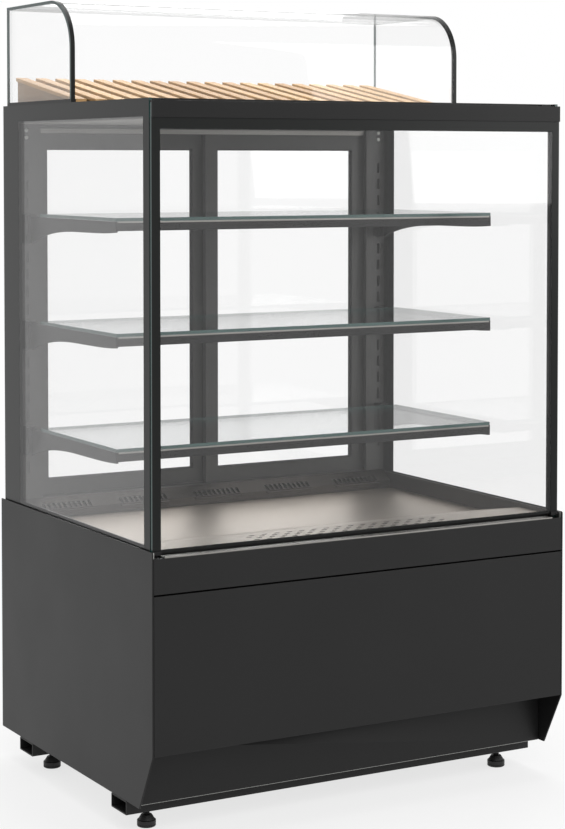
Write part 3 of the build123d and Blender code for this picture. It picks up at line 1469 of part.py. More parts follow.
def power_inlet():
    """Panel inlet with three contact blades in its socket; the lead plugs in here."""
    half = INLET_WIDTH / 2
    z0 = CONTROL_Z - INLET_HEIGHT / 2
    z1 = CONTROL_Z + INLET_HEIGHT / 2
    face_y = REAR_SKIN_Y + INLET_FACE
    x0 = INLET_X - half + SEAT_GAP
    x1 = INLET_X + half - SEAT_GAP
    body_front = REAR_PANEL_Y - INLET_DEPTH
    body = block(x0, x1, body_front, REAR_SKIN_Y, z0 + SEAT_GAP, z1 - SEAT_GAP)
    f = INLET_FLANGE
    rim = INLET_RIM
    body += block(
        INLET_X - half - f, INLET_X + half + f, REAR_SKIN_Y, face_y, z0 - rim, z1 + rim
    )
    body -= block(INLET_X - half + 2, INLET_X + half - 2, face_y - INLET_CAVITY, face_y + 1, z0 + 2, z1 - 2)
    for x, z in INLET_BLADES:
        blade_y = face_y - INLET_CAVITY
        blade = Box(2, INLET_BLADE_LENGTH + 1, INLET_BLADE_WIDTH)
        middle_y = blade_y + (INLET_BLADE_LENGTH - 1) / 2
        body += Pos(INLET_X + x, middle_y, CONTROL_Z + z) * blade
    return body


def panel_screws():
    """Screw heads on the rear panels and on the top ends of the posts."""
    screws = []
    x = SIDE_INNER_X - REAR_FLANGE / 2
    for z in REAR_SCREW_Z:
        head = rod_y(SCREW_HEAD_RADIUS, REAR_SKIN_Y, REAR_SKIN_Y + SCREW_HEAD_HEIGHT, x, z)
        screws += both_sides(fillet(head.edges().group_by(Axis.Y)[-1], SCREW_EDGE_RADIUS))
    for z in POST_SCREW_Z:
        head = rod_y(SCREW_HEAD_RADIUS, POST_FRONT_Y - SCREW_HEAD_HEIGHT, POST_FRONT_Y, SLOT_X, z)
        screws += both_sides(fillet(head.edges().group_by(Axis.Y)[0], SCREW_EDGE_RADIUS))
    return group(screws)


def write_base():
    """Write the nodes of the base and the lower panels."""
    for name, x, y in foot_places():
        save(f"foot_{name}", foot(x, y))
    save("foot_nuts", foot_nuts())
    save("base_rails", group([base_rail(FOOT_FRONT_Y), base_rail(FOOT_REAR_Y)]))
    save("base_floor", base_floor())
    save("side_panels", group(both_sides(side_panel())))
    save("kick_panel", kick_panel())
    save("front_panel", front_panel())
    save("front_fascia", front_fascia())
    save("front_sill", front_sill())
    save("front_uprights", front_uprights())
    save("rear_grille_panel", rear_grille_panel())
    save("rear_control_panel", rear_control_panel())


def write_cabinet():
    """Write the nodes of the tub, the deck and the rear wall."""
    save("insulated_tub", insulated_tub())
    save("deck_pan", deck_pan())
    save("return_grille", return_grille())
    save("inner_walls", inner_walls())
    save("door_surround", door_surround())
    save("slotted_posts", group(both_sides(slotted_post())))
    save("door_right_frame", door_frame(INNER_DOOR_Y))
    save("door_right_glass", door_pane(INNER_DOOR_Y))
    save("door_left_frame", mirror(door_frame(OUTER_DOOR_Y), about=Plane.YZ))
    save("door_left_glass", mirror(door_pane(OUTER_DOOR_Y), about=Plane.YZ))


def write_glazing():
    """Write the nodes of the panes, their profiles and the top of the case."""
    save("side_glasses", group(both_sides(side_glass())))
    save("glazing_profiles", group([*both_sides(glass_channel()), *both_sides(canopy_strip())]))
    save("front_glass", front_glass())
    save("front_glass_bar", front_glass_bar())
    save("pivot_shoes", group(both_sides(pivot_shoe())))
    save("pivot_brackets", group(both_sides(pivot_bracket())))
    save("glass_catches", glass_catches())
    save("top_frame", top_frame())
    save("top_panel", top_panel())
    save("ceiling_panel", ceiling_panel())
    save("led_lamp", led_lamp())
    save("canopy_sides", group(both_sides(canopy_side())))
    save("canopy_curved_glass", canopy_curved_glass())


def write_display():
    """Write the nodes of the rack and the shelves."""
    save("rack_slats", rack_slats())
    save("rack_boards", rack_boards())
    for name, top in zip(("top", "middle", "bottom"), SHELF_TOPS):
        save(f"shelf_glass_{name}", shelf_glass(top))
    save("shelf_rails", group([shelf_rail(top) for top in SHELF_TOPS]))
    save("shelf_brackets", group([b for top in SHELF_TOPS for b in both_sides(shelf_bracket(top))]))


def write_machinery():
    """Write the nodes of the refrigeration, the controls and the fasteners."""
    save("compressor", compressor())
    save("condenser", condenser())
    save("condenser_fan", bored_rotor(CONDENSER_FAN_RADIUS, *condenser_centre()))
    save("evaporator", evaporator())
    save("evaporator_fan", bored_rotor(EVAPORATOR_FAN_RADIUS, *evaporator_centre()))
    save("fan_motors", fan_motors())
    save("fan_plates", fan_plates())
    save("refrigerant_lines", refrigerant_lines())
    save("condensate_tray", condensate_tray())
    save("controller", group([controller(), switch_body()]))
    for name, x in zip(("up", "down"), key_places()):
        save(f"key_{name}", controller_key(x))
    save("light_switch", light_switch())
    save("power_inlet", power_inlet())
    save("panel_screws", panel_screws())


os.makedirs("parts", exist_ok=True)
write_base()
write_cabinet()
write_glazing()
write_display()
write_machinery()
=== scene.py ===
"""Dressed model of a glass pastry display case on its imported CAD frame.

Lengths in the classes are in millimetres, in the frame of the CAD: origin on the floor under the
middle of the case, +X to the right of the shopper, -Y towards the shopper, +Z up.
"""
import json
import logging
import math
from dataclasses import dataclass, field
from enum import Enum
from typing import Any, Optional, Sequence

import bmesh
import bpy
from mathutils import Matrix, Vector

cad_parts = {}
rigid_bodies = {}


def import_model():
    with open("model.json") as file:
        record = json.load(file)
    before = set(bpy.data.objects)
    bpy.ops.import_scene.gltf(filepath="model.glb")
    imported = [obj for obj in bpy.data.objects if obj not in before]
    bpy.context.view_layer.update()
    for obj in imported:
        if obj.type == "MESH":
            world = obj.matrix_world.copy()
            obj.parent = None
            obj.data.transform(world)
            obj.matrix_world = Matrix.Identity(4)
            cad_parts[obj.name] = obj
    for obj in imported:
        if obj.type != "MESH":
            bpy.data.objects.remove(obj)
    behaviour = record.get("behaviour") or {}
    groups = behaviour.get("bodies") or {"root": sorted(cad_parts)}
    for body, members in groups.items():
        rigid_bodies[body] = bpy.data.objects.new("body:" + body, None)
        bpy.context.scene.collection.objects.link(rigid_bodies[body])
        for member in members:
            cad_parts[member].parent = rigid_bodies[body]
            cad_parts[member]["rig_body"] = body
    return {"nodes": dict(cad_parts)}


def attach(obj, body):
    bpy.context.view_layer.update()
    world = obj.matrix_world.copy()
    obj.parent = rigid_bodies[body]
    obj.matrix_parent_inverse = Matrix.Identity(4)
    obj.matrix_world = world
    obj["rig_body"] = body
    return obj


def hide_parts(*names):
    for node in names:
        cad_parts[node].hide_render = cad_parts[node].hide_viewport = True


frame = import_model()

LOG = logging.getLogger("display_case")
MM = 0.001
EDGE_NORMAL = 0.7
HOLE_NORMAL = 0.5
SAME_POINT_M = 1e-6
FLAT_DEGREES = 0.5
BEVEL_DEGREES = 35.0
BEVEL_SEGMENTS = 2
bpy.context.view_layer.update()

Point2 = tuple[float, float]
Sockets = dict[Any, Any]


class Axis(Enum):
    """A direction of the frame, as an index into a vector."""

    X = 0
    Y = 1
    Z = 2


# Colour and node helpers


def linear(hex_colour: str) -> tuple[float, float, float, float]:
    """Turn an sRGB hex value into a linear colour.

    Args:
        hex_colour: Colour such as "#1c1c1c".

    Returns:
        Linear red, green, blue and an alpha of one.
    """
    channels = [int(hex_colour[i : i + 2], 16) / 255 for i in (1, 3, 5)]
    values = [c / 12.92 if c <= 0.04045 else ((c + 0.055) / 1.055) ** 2.4 for c in channels]
    return (values[0], values[1], values[2], 1.0)


def add_node(
    tree: bpy.types.NodeTree,
    kind: str,
    settings: Optional[Sockets] = None,
    links: Optional[Sockets] = None,
) -> bpy.types.Node:
    """Add one node with its settings and its incoming links.

    Args:
        tree: Node tree that gets the node.
        kind: Blender's name of the node type.
        settings: Properties by name, and input values by socket name or index.
        links: Source sockets by the name or index of the input they feed.

    Returns:
        The new node.
    """
    node = tree.nodes.new(kind)
    for key, value in (settings or {}).items():
        if isinstance(key, str) and hasattr(node, key):
            setattr(node, key, value)
        else:
            node.inputs[key].default_value = value
    for key, source in (links or {}).items():
        tree.links.new(source, node.inputs[key])
    return node


def per_metre(size_mm: float) -> float:
    """Texture scale at which one feature is size_mm wide.

    Args:
        size_mm: Width of one feature in millimetres.

    Returns:
        The scale for a texture node.
    """
    return 1.0 / (size_mm * MM)


# Finishes


@dataclass(frozen=True)
class Finish:
    """A named surface finish that builds its material once."""

    name: str

    def material(self) -> bpy.types.Material:
        """Return the material of this finish, building it on first use.

        Returns:
            The material.
        """
        known = bpy.data.materials.get(self.name)
        if known is not None:
            return known
        made = bpy.data.materials.new(self.name)
        made.use_nodes = True
        made.node_tree.nodes.clear()
        surface = self.surface(made.node_tree)
        add_node(made.node_tree, "ShaderNodeOutputMaterial", None, {"Surface": surface})
        return made

    def surface(self, tree: bpy.types.NodeTree) -> bpy.types.NodeSocket:
        """Build the shader of the finish in a tree and return its output socket.

        Args:
            tree: Node tree of the material.

        Returns:
            Output socket of the shader.
        """
        raise NotImplementedError


@dataclass(frozen=True)
class PowderCoat(Finish):
    """Polyester powder coat on steel: sprayed dry and baked, so it has a faint orange peel."""

    colour: str = "#131313"
    peak: str = "#171717"
    roughness: float = 0.42
    specular: float = 0.26
    peel_mm: float = 2.5
    cloud_mm: float = 180.0

    def surface(self, tree: bpy.types.NodeTree) -> bpy.types.NodeSocket:
        """Mottled base colour, uneven gloss and orange peel bump.

        Args:
            tree: Node tree of the material.

        Returns:
            Output socket of the shader.
        """
        where = add_node(tree, "ShaderNodeTexCoord").outputs["Object"]
        cloud = add_node(
            tree, "ShaderNodeTexNoise", {"Scale": per_metre(self.cloud_mm), "Detail": 3.0}, {"Vector": where}
        )
        colour = add_node(
            tree,
            "ShaderNodeMix",
            {"data_type": "RGBA", 6: linear(self.colour), 7: linear(self.peak)},
            {0: cloud.outputs[0]},
        )
        gloss = add_node(
            tree,
            "ShaderNodeMapRange",
            {"To Min": self.roughness - 0.05, "To Max": self.roughness + 0.06},
            {"Value": cloud.outputs[0]},
        )
        peel = add_node(
            tree, "ShaderNodeTexNoise", {"Scale": per_metre(self.peel_mm), "Detail": 1.0}, {"Vector": where}
        )
        bump = add_node(
            tree, "ShaderNodeBump", {"Strength": 0.03, "Distance": 0.0001}, {"Height": peel.outputs[0]}
        )
        return add_node(
            tree,
            "ShaderNodeBsdfPrincipled",
            {"Specular IOR Level": self.specular, "IOR": 1.5},
            {"Base Color": colour.outputs[2], "Roughness": gloss.outputs[0], "Normal": bump.outputs[0]},
        ).outputs[0]


@dataclass(frozen=True)
class BrushedMetal(Finish):
    """Rolled metal sheet ground along one direction: fine parallel scratches stretch the highlights.

    Where the hole colour is set, the sheet was punched, and the torn upright walls of its holes are painted
    near-black and dull: painted shade for the dark space behind the holes.
    """

    colour: str = "#b3aea6"
    shade: str = "#8f8981"
    roughness: float = 0.3
    along: Axis = Axis.X
    scratch_mm: float = 1.6
    run_mm: float = 90.0
    painted_hole_shade: str = ""

    def surface(self, tree: bpy.types.NodeTree) -> bpy.types.NodeSocket:
        """Stretched noise drives tone, roughness and a shallow bump; drawn coarser than real grit.

        Args:
            tree: Node tree of the material.

        Returns:
            Output socket of the shader.
        """
        where = add_node(tree, "ShaderNodeTexCoord").outputs["Object"]
        scale = [per_metre(self.scratch_mm)] * 3
        scale[self.along.value] = per_metre(self.run_mm)
        stretched = add_node(tree, "ShaderNodeMapping", {"Scale": scale}, {"Vector": where})
        scratch = add_node(
            tree, "ShaderNodeTexNoise", {"Scale": 1.0, "Detail": 4.0}, {"Vector": stretched.outputs[0]}
        )
        colour = add_node(
            tree,
            "ShaderNodeMix",
            {"data_type": "RGBA", 6: linear(self.shade), 7: linear(self.colour)},
            {0: scratch.outputs[0]},
        )
        gloss = add_node(
            tree,
            "ShaderNodeMapRange",
            {"To Min": self.roughness - 0.08, "To Max": self.roughness + 0.1},
            {"Value": scratch.outputs[0]},
        )
        bump = add_node(
            tree, "ShaderNodeBump", {"Strength": 0.12, "Distance": 0.0001}, {"Height": scratch.outputs[0]}
        )
        metal = add_node(
            tree,
            "ShaderNodeBsdfPrincipled",
            {"Metallic": 1.0},
            {"Base Color": colour.outputs[2], "Roughness": gloss.outputs[0], "Normal": bump.outputs[0]},
        ).outputs[0]
        return self.paint_hole_shade(tree, metal) if self.painted_hole_shade else metal

    def paint_hole_shade(
        self, tree: bpy.types.NodeTree, metal: bpy.types.NodeSocket
    ) -> bpy.types.NodeSocket:
        """Paint the faces that stand upright, the walls of the holes, with a dull near-black painted shade.

        Args:
            tree: Node tree of the material.
            metal: Shader of the flat faces.

        Returns:
            Output socket of the shader.
        """
        facing = add_node(tree, "ShaderNodeTexCoord").outputs["Normal"]
        axes = add_node(tree, "ShaderNodeSeparateXYZ", None, {0: facing})
        size = add_node(tree, "ShaderNodeMath", {"operation": "ABSOLUTE"}, {0: axes.outputs[2]})
        shaded_wall_mask = add_node(
            tree, "ShaderNodeMath", {"operation": "LESS_THAN", 1: HOLE_NORMAL}, {0: size.outputs[0]}
        )
        # Painted shade: the hole walls are near-black so that the holes read as dark.
        painted_shade_shader = add_node(
            tree, "ShaderNodeBsdfPrincipled", {"Base Color": linear(self.painted_hole_shade), "Roughness": 0.8}
        )
        return add_node(
            tree, "ShaderNodeMixShader", None, {0: shaded_wall_mask.outputs[0], 1: metal, 2: painted_shade_shader.outputs[0]}
        ).outputs[0]


@dataclass(frozen=True)
class MouldedPlastic(Finish):
    """Injection moulded plastic or rubber with the fine spark texture of its mould."""

    colour: str = "#161616"
    roughness: float = 0.5
    grain_mm: float = 1.4

    def surface(self, tree: bpy.types.NodeTree) -> bpy.types.NodeSocket:
        """Grain shows as small steps in gloss and height; drawn coarser than the real texture.

        Args:
            tree: Node tree of the material.

        Returns:
            Output socket of the shader.
        """
        where = add_node(tree, "ShaderNodeTexCoord").outputs["Object"]
        grain = add_node(
            tree, "ShaderNodeTexNoise", {"Scale": per_metre(self.grain_mm), "Detail": 2.0}, {"Vector": where}
        )
        gloss = add_node(
            tree,
            "ShaderNodeMapRange",
            {"To Min": self.roughness - 0.08, "To Max": self.roughness + 0.08},
            {"Value": grain.outputs[0]},
        )
        bump = add_node(
            tree, "ShaderNodeBump", {"Strength": 0.15, "Distance": 0.0001}, {"Height": grain.outputs[0]}
        )
        return add_node(
            tree,
            "ShaderNodeBsdfPrincipled",
            {"Base Color": linear(self.colour), "IOR": 1.5, "Specular IOR Level": 0.4},
            {"Roughness": gloss.outputs[0], "Normal": bump.outputs[0]},
        ).outputs[0]


@dataclass(frozen=True)
class BeechLath(Finish):
    """Planed beech under clear lacquer: long grain along Y and a different tone on each lath."""

    pale: str = "#dfb67e"
    middle: str = "#bc915c"
    streak: str = "#85603a"
    lath_pitch_mm: float = 43.1
    grain_mm: float = 3.0
    run_mm: float = 120.0

    def surface(self, tree: bpy.types.NodeTree) -> bpy.types.NodeSocket:
        """A tone for each lath, long grain, dark streaks and a slight sheen.

        Args:
            tree: Node tree of the material.

        Returns:
            Output socket of the shader.
        """
        where = add_node(tree, "ShaderNodeTexCoord").outputs["Object"]
        axes = add_node(tree, "ShaderNodeSeparateXYZ", None, {0: where})
        count = add_node(
            tree,
            "ShaderNodeMath",
            {"operation": "MULTIPLY_ADD", 1: per_metre(self.lath_pitch_mm), 2: 0.28},
            {0: axes.outputs[0]},
        )
        lath = add_node(tree, "ShaderNodeMath", {"operation": "FLOOR"}, {0: count.outputs[0]})
        chance = add_node(
            tree, "ShaderNodeTexWhiteNoise", {"noise_dimensions": "1D"}, {"W": lath.outputs[0]}
        )
        offset = add_node(
            tree, "ShaderNodeCombineXYZ", None, {0: chance.outputs[0], 1: chance.outputs[0]}
        )
        moved = add_node(
            tree, "ShaderNodeVectorMath", {"operation": "ADD"}, {0: where, 1: offset.outputs[0]}
        )
        scale = (per_metre(self.grain_mm), per_metre(self.run_mm), per_metre(self.grain_mm))
        stretched = add_node(tree, "ShaderNodeMapping", {"Scale": scale}, {"Vector": moved.outputs[0]})
        grain = add_node(
            tree,
            "ShaderNodeTexNoise",
            {"Scale": 1.0, "Detail": 5.0, "Distortion": 0.6},
            {"Vector": stretched.outputs[0]},
        )
        tone = add_node(
            tree,
            "ShaderNodeMix",
            {"data_type": "RGBA", 6: linear(self.middle), 7: linear(self.pale)},
            {0: chance.outputs[0]},
        )
        streaks = add_node(
            tree,
            "ShaderNodeMapRange",
            {"From Min": 0.52, "From Max": 0.78, "To Min": 0.0, "To Max": 0.75},
            {"Value": grain.outputs[0]},
        )
        colour = add_node(
            tree,
            "ShaderNodeMix",
            {"data_type": "RGBA", 7: linear(self.streak)},
            {0: streaks.outputs[0], 6: tone.outputs[2]},
        )
        bump = add_node(
            tree, "ShaderNodeBump", {"Strength": 0.2, "Distance": 0.0002}, {"Height": grain.outputs[0]}
        )
        gloss = add_node(
            tree, "ShaderNodeMapRange", {"To Min": 0.42, "To Max": 0.6}, {"Value": grain.outputs[0]}
        )
        return add_node(
            tree,
            "ShaderNodeBsdfPrincipled",
            {"IOR": 1.5, "Specular IOR Level": 0.4},
            {"Base Color": colour.outputs[2], "Roughness": gloss.outputs[0], "Normal": bump.outputs[0]},
        ).outputs[0]


@dataclass(frozen=True)
class FloatGlass(Finish):
    """Float glass pane: clear faces, green ground edges and, where it has one, a printed border.

    The border is fired ceramic enamel, so it is black, glossy and opaque. The clear part is the box
    of window, as (axis, low, high) in millimetres. With no window there is no border.
    """

    tint: str = "#fefefe"
    index: float = 1.45
    edge: str = "#24413e"
    enamel: str = "#0f1110"
    face: Axis = Axis.X
    edge_is_along_face: bool = False
    window: tuple[tuple[Axis, float, float], ...] = ()

    def surface(self, tree: bpy.types.NodeTree) -> bpy.types.NodeSocket:
        """Clear pane, then the enamel by place, then the ground edge by direction.

        Args:
            tree: Node tree of the material.

        Returns:
            Output socket of the shader.
        """
        coordinates = add_node(tree, "ShaderNodeTexCoord")
        clear = self.clear(tree)
        printed = add_node(
            tree,
            "ShaderNodeBsdfPrincipled",
            {"Base Color": linear(self.enamel), "Roughness": 0.28, "IOR": 1.5, "Specular IOR Level": 0.2},
        ).outputs[0]
        body = clear
        if self.window:
            border = self.border(tree, coordinates.outputs["Object"])
            body = add_node(tree, "ShaderNodeMixShader", None, {0: border, 1: clear, 2: printed}).outputs[0]
        ground = add_node(
            tree,
            "ShaderNodeBsdfPrincipled",
            {"Base Color": linear(self.edge), "Roughness": 0.18, "IOR": 1.5},
        ).outputs[0]
        axes = add_node(tree, "ShaderNodeSeparateXYZ", None, {0: coordinates.outputs["Normal"]})
        size = add_node(
            tree, "ShaderNodeMath", {"operation": "ABSOLUTE"}, {0: axes.outputs[self.face.value]}
        )
        test = "GREATER_THAN" if self.edge_is_along_face else "LESS_THAN"
        is_edge = add_node(tree, "ShaderNodeMath", {"operation": test, 1: EDGE_NORMAL}, {0: size.outputs[0]})
        return add_node(
            tree, "ShaderNodeMixShader", None, {0: is_edge.outputs[0], 1: body, 2: ground}
        ).outputs[0]

    def clear(self, tree: bpy.types.NodeTree) -> bpy.types.NodeSocket:
        """Clear face: light passes straight on, and both faces mirror alike by angle.

        Args:
            tree: Node tree of the material.

        Returns:
            Output socket of the shader.
        """
        through = add_node(tree, "ShaderNodeBsdfTransparent", {"Color": linear(self.tint)})
        mirror = add_node(tree, "ShaderNodeBsdfGlossy", {"Roughness": 0.02})
        rear = add_node(tree, "ShaderNodeNewGeometry").outputs["Backfacing"]
        index = add_node(
            tree,
            "ShaderNodeMapRange",
            {"To Min": self.index, "To Max": 1 / self.index},
            {"Value": rear},
        )
        angle = add_node(tree, "ShaderNodeFresnel", None, {"IOR": index.outputs[0]})
        return add_node(
            tree,
            "ShaderNodeMixShader",
            None,
            {0: angle.outputs[0], 1: through.outputs[0], 2: mirror.outputs[0]},
        ).outputs[0]

    def border(self, tree: bpy.types.NodeTree, where: bpy.types.NodeSocket) -> bpy.types.NodeSocket:
        """One outside the clear window and zero inside it.

        Args:
            tree: Node tree of the material.
            where: Object coordinates.

        Returns:
            Socket of the mask.
        """
        axes = add_node(tree, "ShaderNodeSeparateXYZ", None, {0: where})
        total: Optional[bpy.types.NodeSocket] = None
        for axis, low, high in self.window:
            for limit, test in ((low, "LESS_THAN"), (high, "GREATER_THAN")):
                outside = add_node(
                    tree, "ShaderNodeMath", {"operation": test, 1: limit * MM}, {0: axes.outputs[axis.value]}
                ).outputs[0]
                if total is None:
                    total = outside
                else:
                    total = add_node(
                        tree, "ShaderNodeMath", {"operation": "MAXIMUM"}, {0: total, 1: outside}
                    ).outputs[0]
        return total


@dataclass(frozen=True)
class OpalAcrylic(Finish):
    """Extruded opal acrylic lamp cover: milky, smooth and faintly lit from inside."""

    colour: str = "#f2f2ec"
    between: str = "#e4e4de"
    glow: float = 0.35
    diode_pitch_mm: float = 64.0

    def surface(self, tree: bpy.types.NodeTree) -> bpy.types.NodeSocket:
        """Milky plastic with a soft glow that varies along the row of diodes.

        Args:
            tree: Node tree of the material.

        Returns:
            Output socket of the shader.
        """
        where = add_node(tree, "ShaderNodeTexCoord").outputs["Object"]
        row = add_node(
            tree,
            "ShaderNodeTexWave",
            {"Scale": per_metre(self.diode_pitch_mm), "Distortion": 0.0},
            {"Vector": where},
        )
        colour = add_node(
            tree,
            "ShaderNodeMix",
            {"data_type": "RGBA", 6: linear(self.between), 7: linear(self.colour)},
            {0: row.outputs[0]},
        )
        return add_node(
            tree,
            "ShaderNodeBsdfPrincipled",
            {
                "Roughness": 0.35,
                "IOR": 1.49,
                "Emission Color": linear(self.colour),
                "Emission Strength": self.glow,
            },
            {"Base Color": colour.outputs[2]},
        ).outputs[0]


BLACK_COAT = PowderCoat("powder_coat_black")
RAIL_COAT = PowderCoat("satin_paint_black_rail", "#181818", "#1d1d1d", 0.5)
FRAME_COAT = PowderCoat("anodised_dark_grey_frame", "#343433", "#3d3c3b", 0.4, 0.35)
TRIM_COAT = PowderCoat("anodised_black_trim", "#121212", "#171717", 0.36, 0.2)
CEILING_COAT = PowderCoat("powder_coat_taupe_ceiling", "#6d6964", "#77736d", 0.5)
# The tub is painted dark grey, darker than its real coat, as painted shade for the dark space under the
# punched strip.
TUB_SHADE_COAT = PowderCoat("coil_coat_painted_shade_tub", "#2a2a29", "#30302f", 0.5)
ENAMEL_COAT = PowderCoat("stoved_enamel_compressor", "#141414", "#191919", 0.22, 0.5)
DECK_STEEL = BrushedMetal("stainless_brushed_deck", "#a89e93", "#857c73", 0.42)
# The walls of the punched strip's holes carry a near-black painted shade for the dark space behind them.
GRILLE_STEEL = BrushedMetal(
    "stainless_punched_strip", "#a89e93", "#857c73", 0.42, painted_hole_shade="#0c0b0b"
)
WALL_STEEL = BrushedMetal("stainless_brushed_wall", "#4d4844", "#3c3835", 0.44)
ZINC_STEEL = BrushedMetal("zinc_plated_steel", "#b9bab6", "#9a9b98", 0.36, Axis.Y, 3.0, 12.0)
SILL_METAL = BrushedMetal("anodised_satin_aluminium", "#95938f", "#83817d", 0.4, Axis.X, 1.2, 140.0)
FIN_METAL = BrushedMetal("aluminium_fin_stock", "#c2c3c4", "#a9aaab", 0.4, Axis.Z, 1.5, 30.0)
COPPER_TUBE = BrushedMetal("drawn_copper_tube", "#c47a52", "#a8623f", 0.28, Axis.Z, 2.0, 60.0)
BLACK_NYLON = MouldedPlastic("moulded_black_nylon")
BLACK_RUBBER = MouldedPlastic("extruded_black_rubber", "#101010", 0.62)
GREY_PLASTIC = MouldedPlastic("moulded_grey_polystyrene", "#3a3b3c", 0.46)
DISPLAY_LENS = MouldedPlastic("tinted_acrylic_lens", "#090b0c", 0.12, 6.0)
BEECH = BeechLath("planed_beech_laths")
BEECH_BOARD = BeechLath("planed_beech_boards", "#a9875f", "#96744d", "#6d4f30", 400.0)
LAMP_COVER = OpalAcrylic("opal_acrylic_cover")
SIDE_PANE = FloatGlass(
    "float_glass_side", face=Axis.X, window=((Axis.Y, -309.0, 261.0), (Axis.Z, 536.0, 1303.0))
)
FRONT_PANE = FloatGlass(
    "float_glass_front", face=Axis.Y, window=((Axis.X, -427.0, 427.0), (Axis.Z, 535.0, 1281.0))
)
SHELF_PANE = FloatGlass("float_glass_shelf", tint="#fdfefe", edge="#35524f", face=Axis.Z)
DOOR_PANE = FloatGlass("float_glass_door", face=Axis.Y)
CANOPY_SIDE_PANE = FloatGlass(
    "float_glass_canopy_side", edge="#1e3a38", face=Axis.X
)
CANOPY_BENT_PANE = FloatGlass(
    "bent_glass_canopy",
    edge="#1e3a38",
    face=Axis.X,
    edge_is_along_face=True,
    window=((Axis.X, -432.5, 432.5), (Axis.Y, 0.0, 329.5)),
)


# Mesh helpers


def mesh_object(name: str, mesh: bmesh.types.BMesh, smooth_degrees: float) -> bpy.types.Object:
    """Turn a bmesh in millimetres into a linked object in metres.

    Args:
        name: Name of the object.
        mesh: Mesh to take over; it is freed.
        smooth_degrees: Edges flatter than this are shaded smooth.

    Returns:
        The new object.
    """
    bmesh.ops.recalc_face_normals(mesh, faces=mesh.faces)
    data = bpy.data.meshes.new(name)
    mesh.to_mesh(data)
    mesh.free()
    data.transform(Matrix.Scale(MM, 4))
    shade(data, smooth_degrees)
    made = bpy.data.objects.new(name, data)
    bpy.context.scene.collection.objects.link(made)
    return made


def shade(data: bpy.types.Mesh, smooth_degrees: float) -> None:
    """Shade a mesh smooth with sharp edges above an angle.

    Args:
        data: Mesh to shade.
        smooth_degrees: Edges flatter than this are shaded smooth.
    """
    data.polygons.foreach_set("use_smooth", [True] * len(data.polygons))
    data.set_sharp_from_angle(angle=math.radians(smooth_degrees))


def place(axis: Axis, along: float, first: float, second: float) -> Vector:
    """Point with a place along an axis and two more coordinates in X, Y, Z order.

    Args:
        axis: The axis.
        along: Place along it.
        first: First of the other two coordinates.
        second: Second of them.

    Returns:
        The point.
    """
    parts = [first, second]
    parts.insert(axis.value, along)
    return Vector(parts)


def add_bar(
    mesh: bmesh.types.BMesh, profile: Sequence[Point2], axis: Axis, start: float, end: float
) -> None:
    """Add a closed prism of a flat profile between two places along an axis.

    Args:
        mesh: Mesh that gets the bar.
        profile: Corners in the other two axes, in X, Y, Z order.
        axis: Direction of the bar.
        start: Place of its first end.
        end: Place of its other end.
    """
    ends = [[mesh.verts.new(place(axis, at, *point)) for point in profile] for at in (start, end)]
    mesh.faces.new(ends[0])
    mesh.faces.new(ends[1])
    for index in range(len(profile)):
        nxt = (index + 1) % len(profile)
        mesh.faces.new((ends[0][index], ends[0][nxt], ends[1][nxt], ends[1][index]))


def add_turned(
    mesh: bmesh.types.BMesh, profile: Sequence[Point2], axis: Axis, centre: Vector, steps: int
) -> None:
    """Add a turned solid about an axis.

    Args:
        mesh: Mesh that gets the solid.
        profile: (radius, height) points from one end on the axis to the other.
        axis: Axis of the turning.
        centre: Where height zero lies.
        steps: Number of flats round the axis.
    """
    rings = []
    for radius, height in profile:
        if radius <= 0:
            rings.append([mesh.verts.new(centre + place(axis, height, 0, 0))])
            continue
        angles = [2 * math.pi * n / steps for n in range(steps)]
        spots = [(radius * math.cos(a), radius * math.sin(a)) for a in angles]
        rings.append([mesh.verts.new(centre + place(axis, height, *spot)) for spot in spots])
    for low, high in zip(rings, rings[1:]):
        for n in range(steps):
            nxt = (n + 1) % steps
            corners = [low[n % len(low)], low[nxt % len(low)], high[nxt % len(high)], high[n % len(high)]]
            distinct = list(dict.fromkeys(corners))
            if len(distinct) > 2:
                mesh.faces.new(distinct)


def add_frame_bead(
    mesh: bmesh.types.BMesh, x_range: Point2, z_range: Point2, profile: Sequence[Point2]
) -> None:
    """Add a mitred bead round a rectangle in an XZ plane.

    Args:
        mesh: Mesh that gets the bead.
        x_range: Lowest and highest X of the rectangle.
        z_range: Lowest and highest Z of the rectangle.
        profile: Closed (outward, y) points; a negative first value lies inside the rectangle.
    """
    corners = ((0, 0, -1, -1), (1, 0, 1, -1), (1, 1, 1, 1), (0, 1, -1, 1))
    loops = []
    for i, j, sx, sz in corners:
        spots = [Vector((x_range[i] + sx * out, y, z_range[j] + sz * out)) for out, y in profile]
        loops.append([mesh.verts.new(spot) for spot in spots])
    for c in range(len(loops)):
        here, there = loops[c], loops[(c + 1) % len(loops)]
        for n in range(len(profile)):
            nxt = (n + 1) % len(profile)
            mesh.faces.new((here[n], here[nxt], there[nxt], there[n]))


def rectangle(low: Point2, high: Point2, cut: float) -> list[Point2]:
    """Rectangle with its four corners cut off by a small chamfer.

    Args:
        low: Its lowest corner.
        high: Its highest corner.
        cut: Length of each chamfer along a side.

    Returns:
        Its eight corners in order.
    """
    (a0, b0), (a1, b1) = low, high
    return [
        (a0 + cut, b0),
        (a1 - cut, b0),
        (a1, b0 + cut),
        (a1, b1 - cut),
        (a1 - cut, b1),
        (a0 + cut, b1),
        (a0, b1 - cut),
        (a0, b0 + cut),
    ]


def both(value: float) -> tuple[float, float]:
    """A place on the left and its mirror image on the right.

    Args:
        value: The place on the right.

    Returns:
        The two places, left one first.
    """
    return (-value, value)


# Sub-assemblies


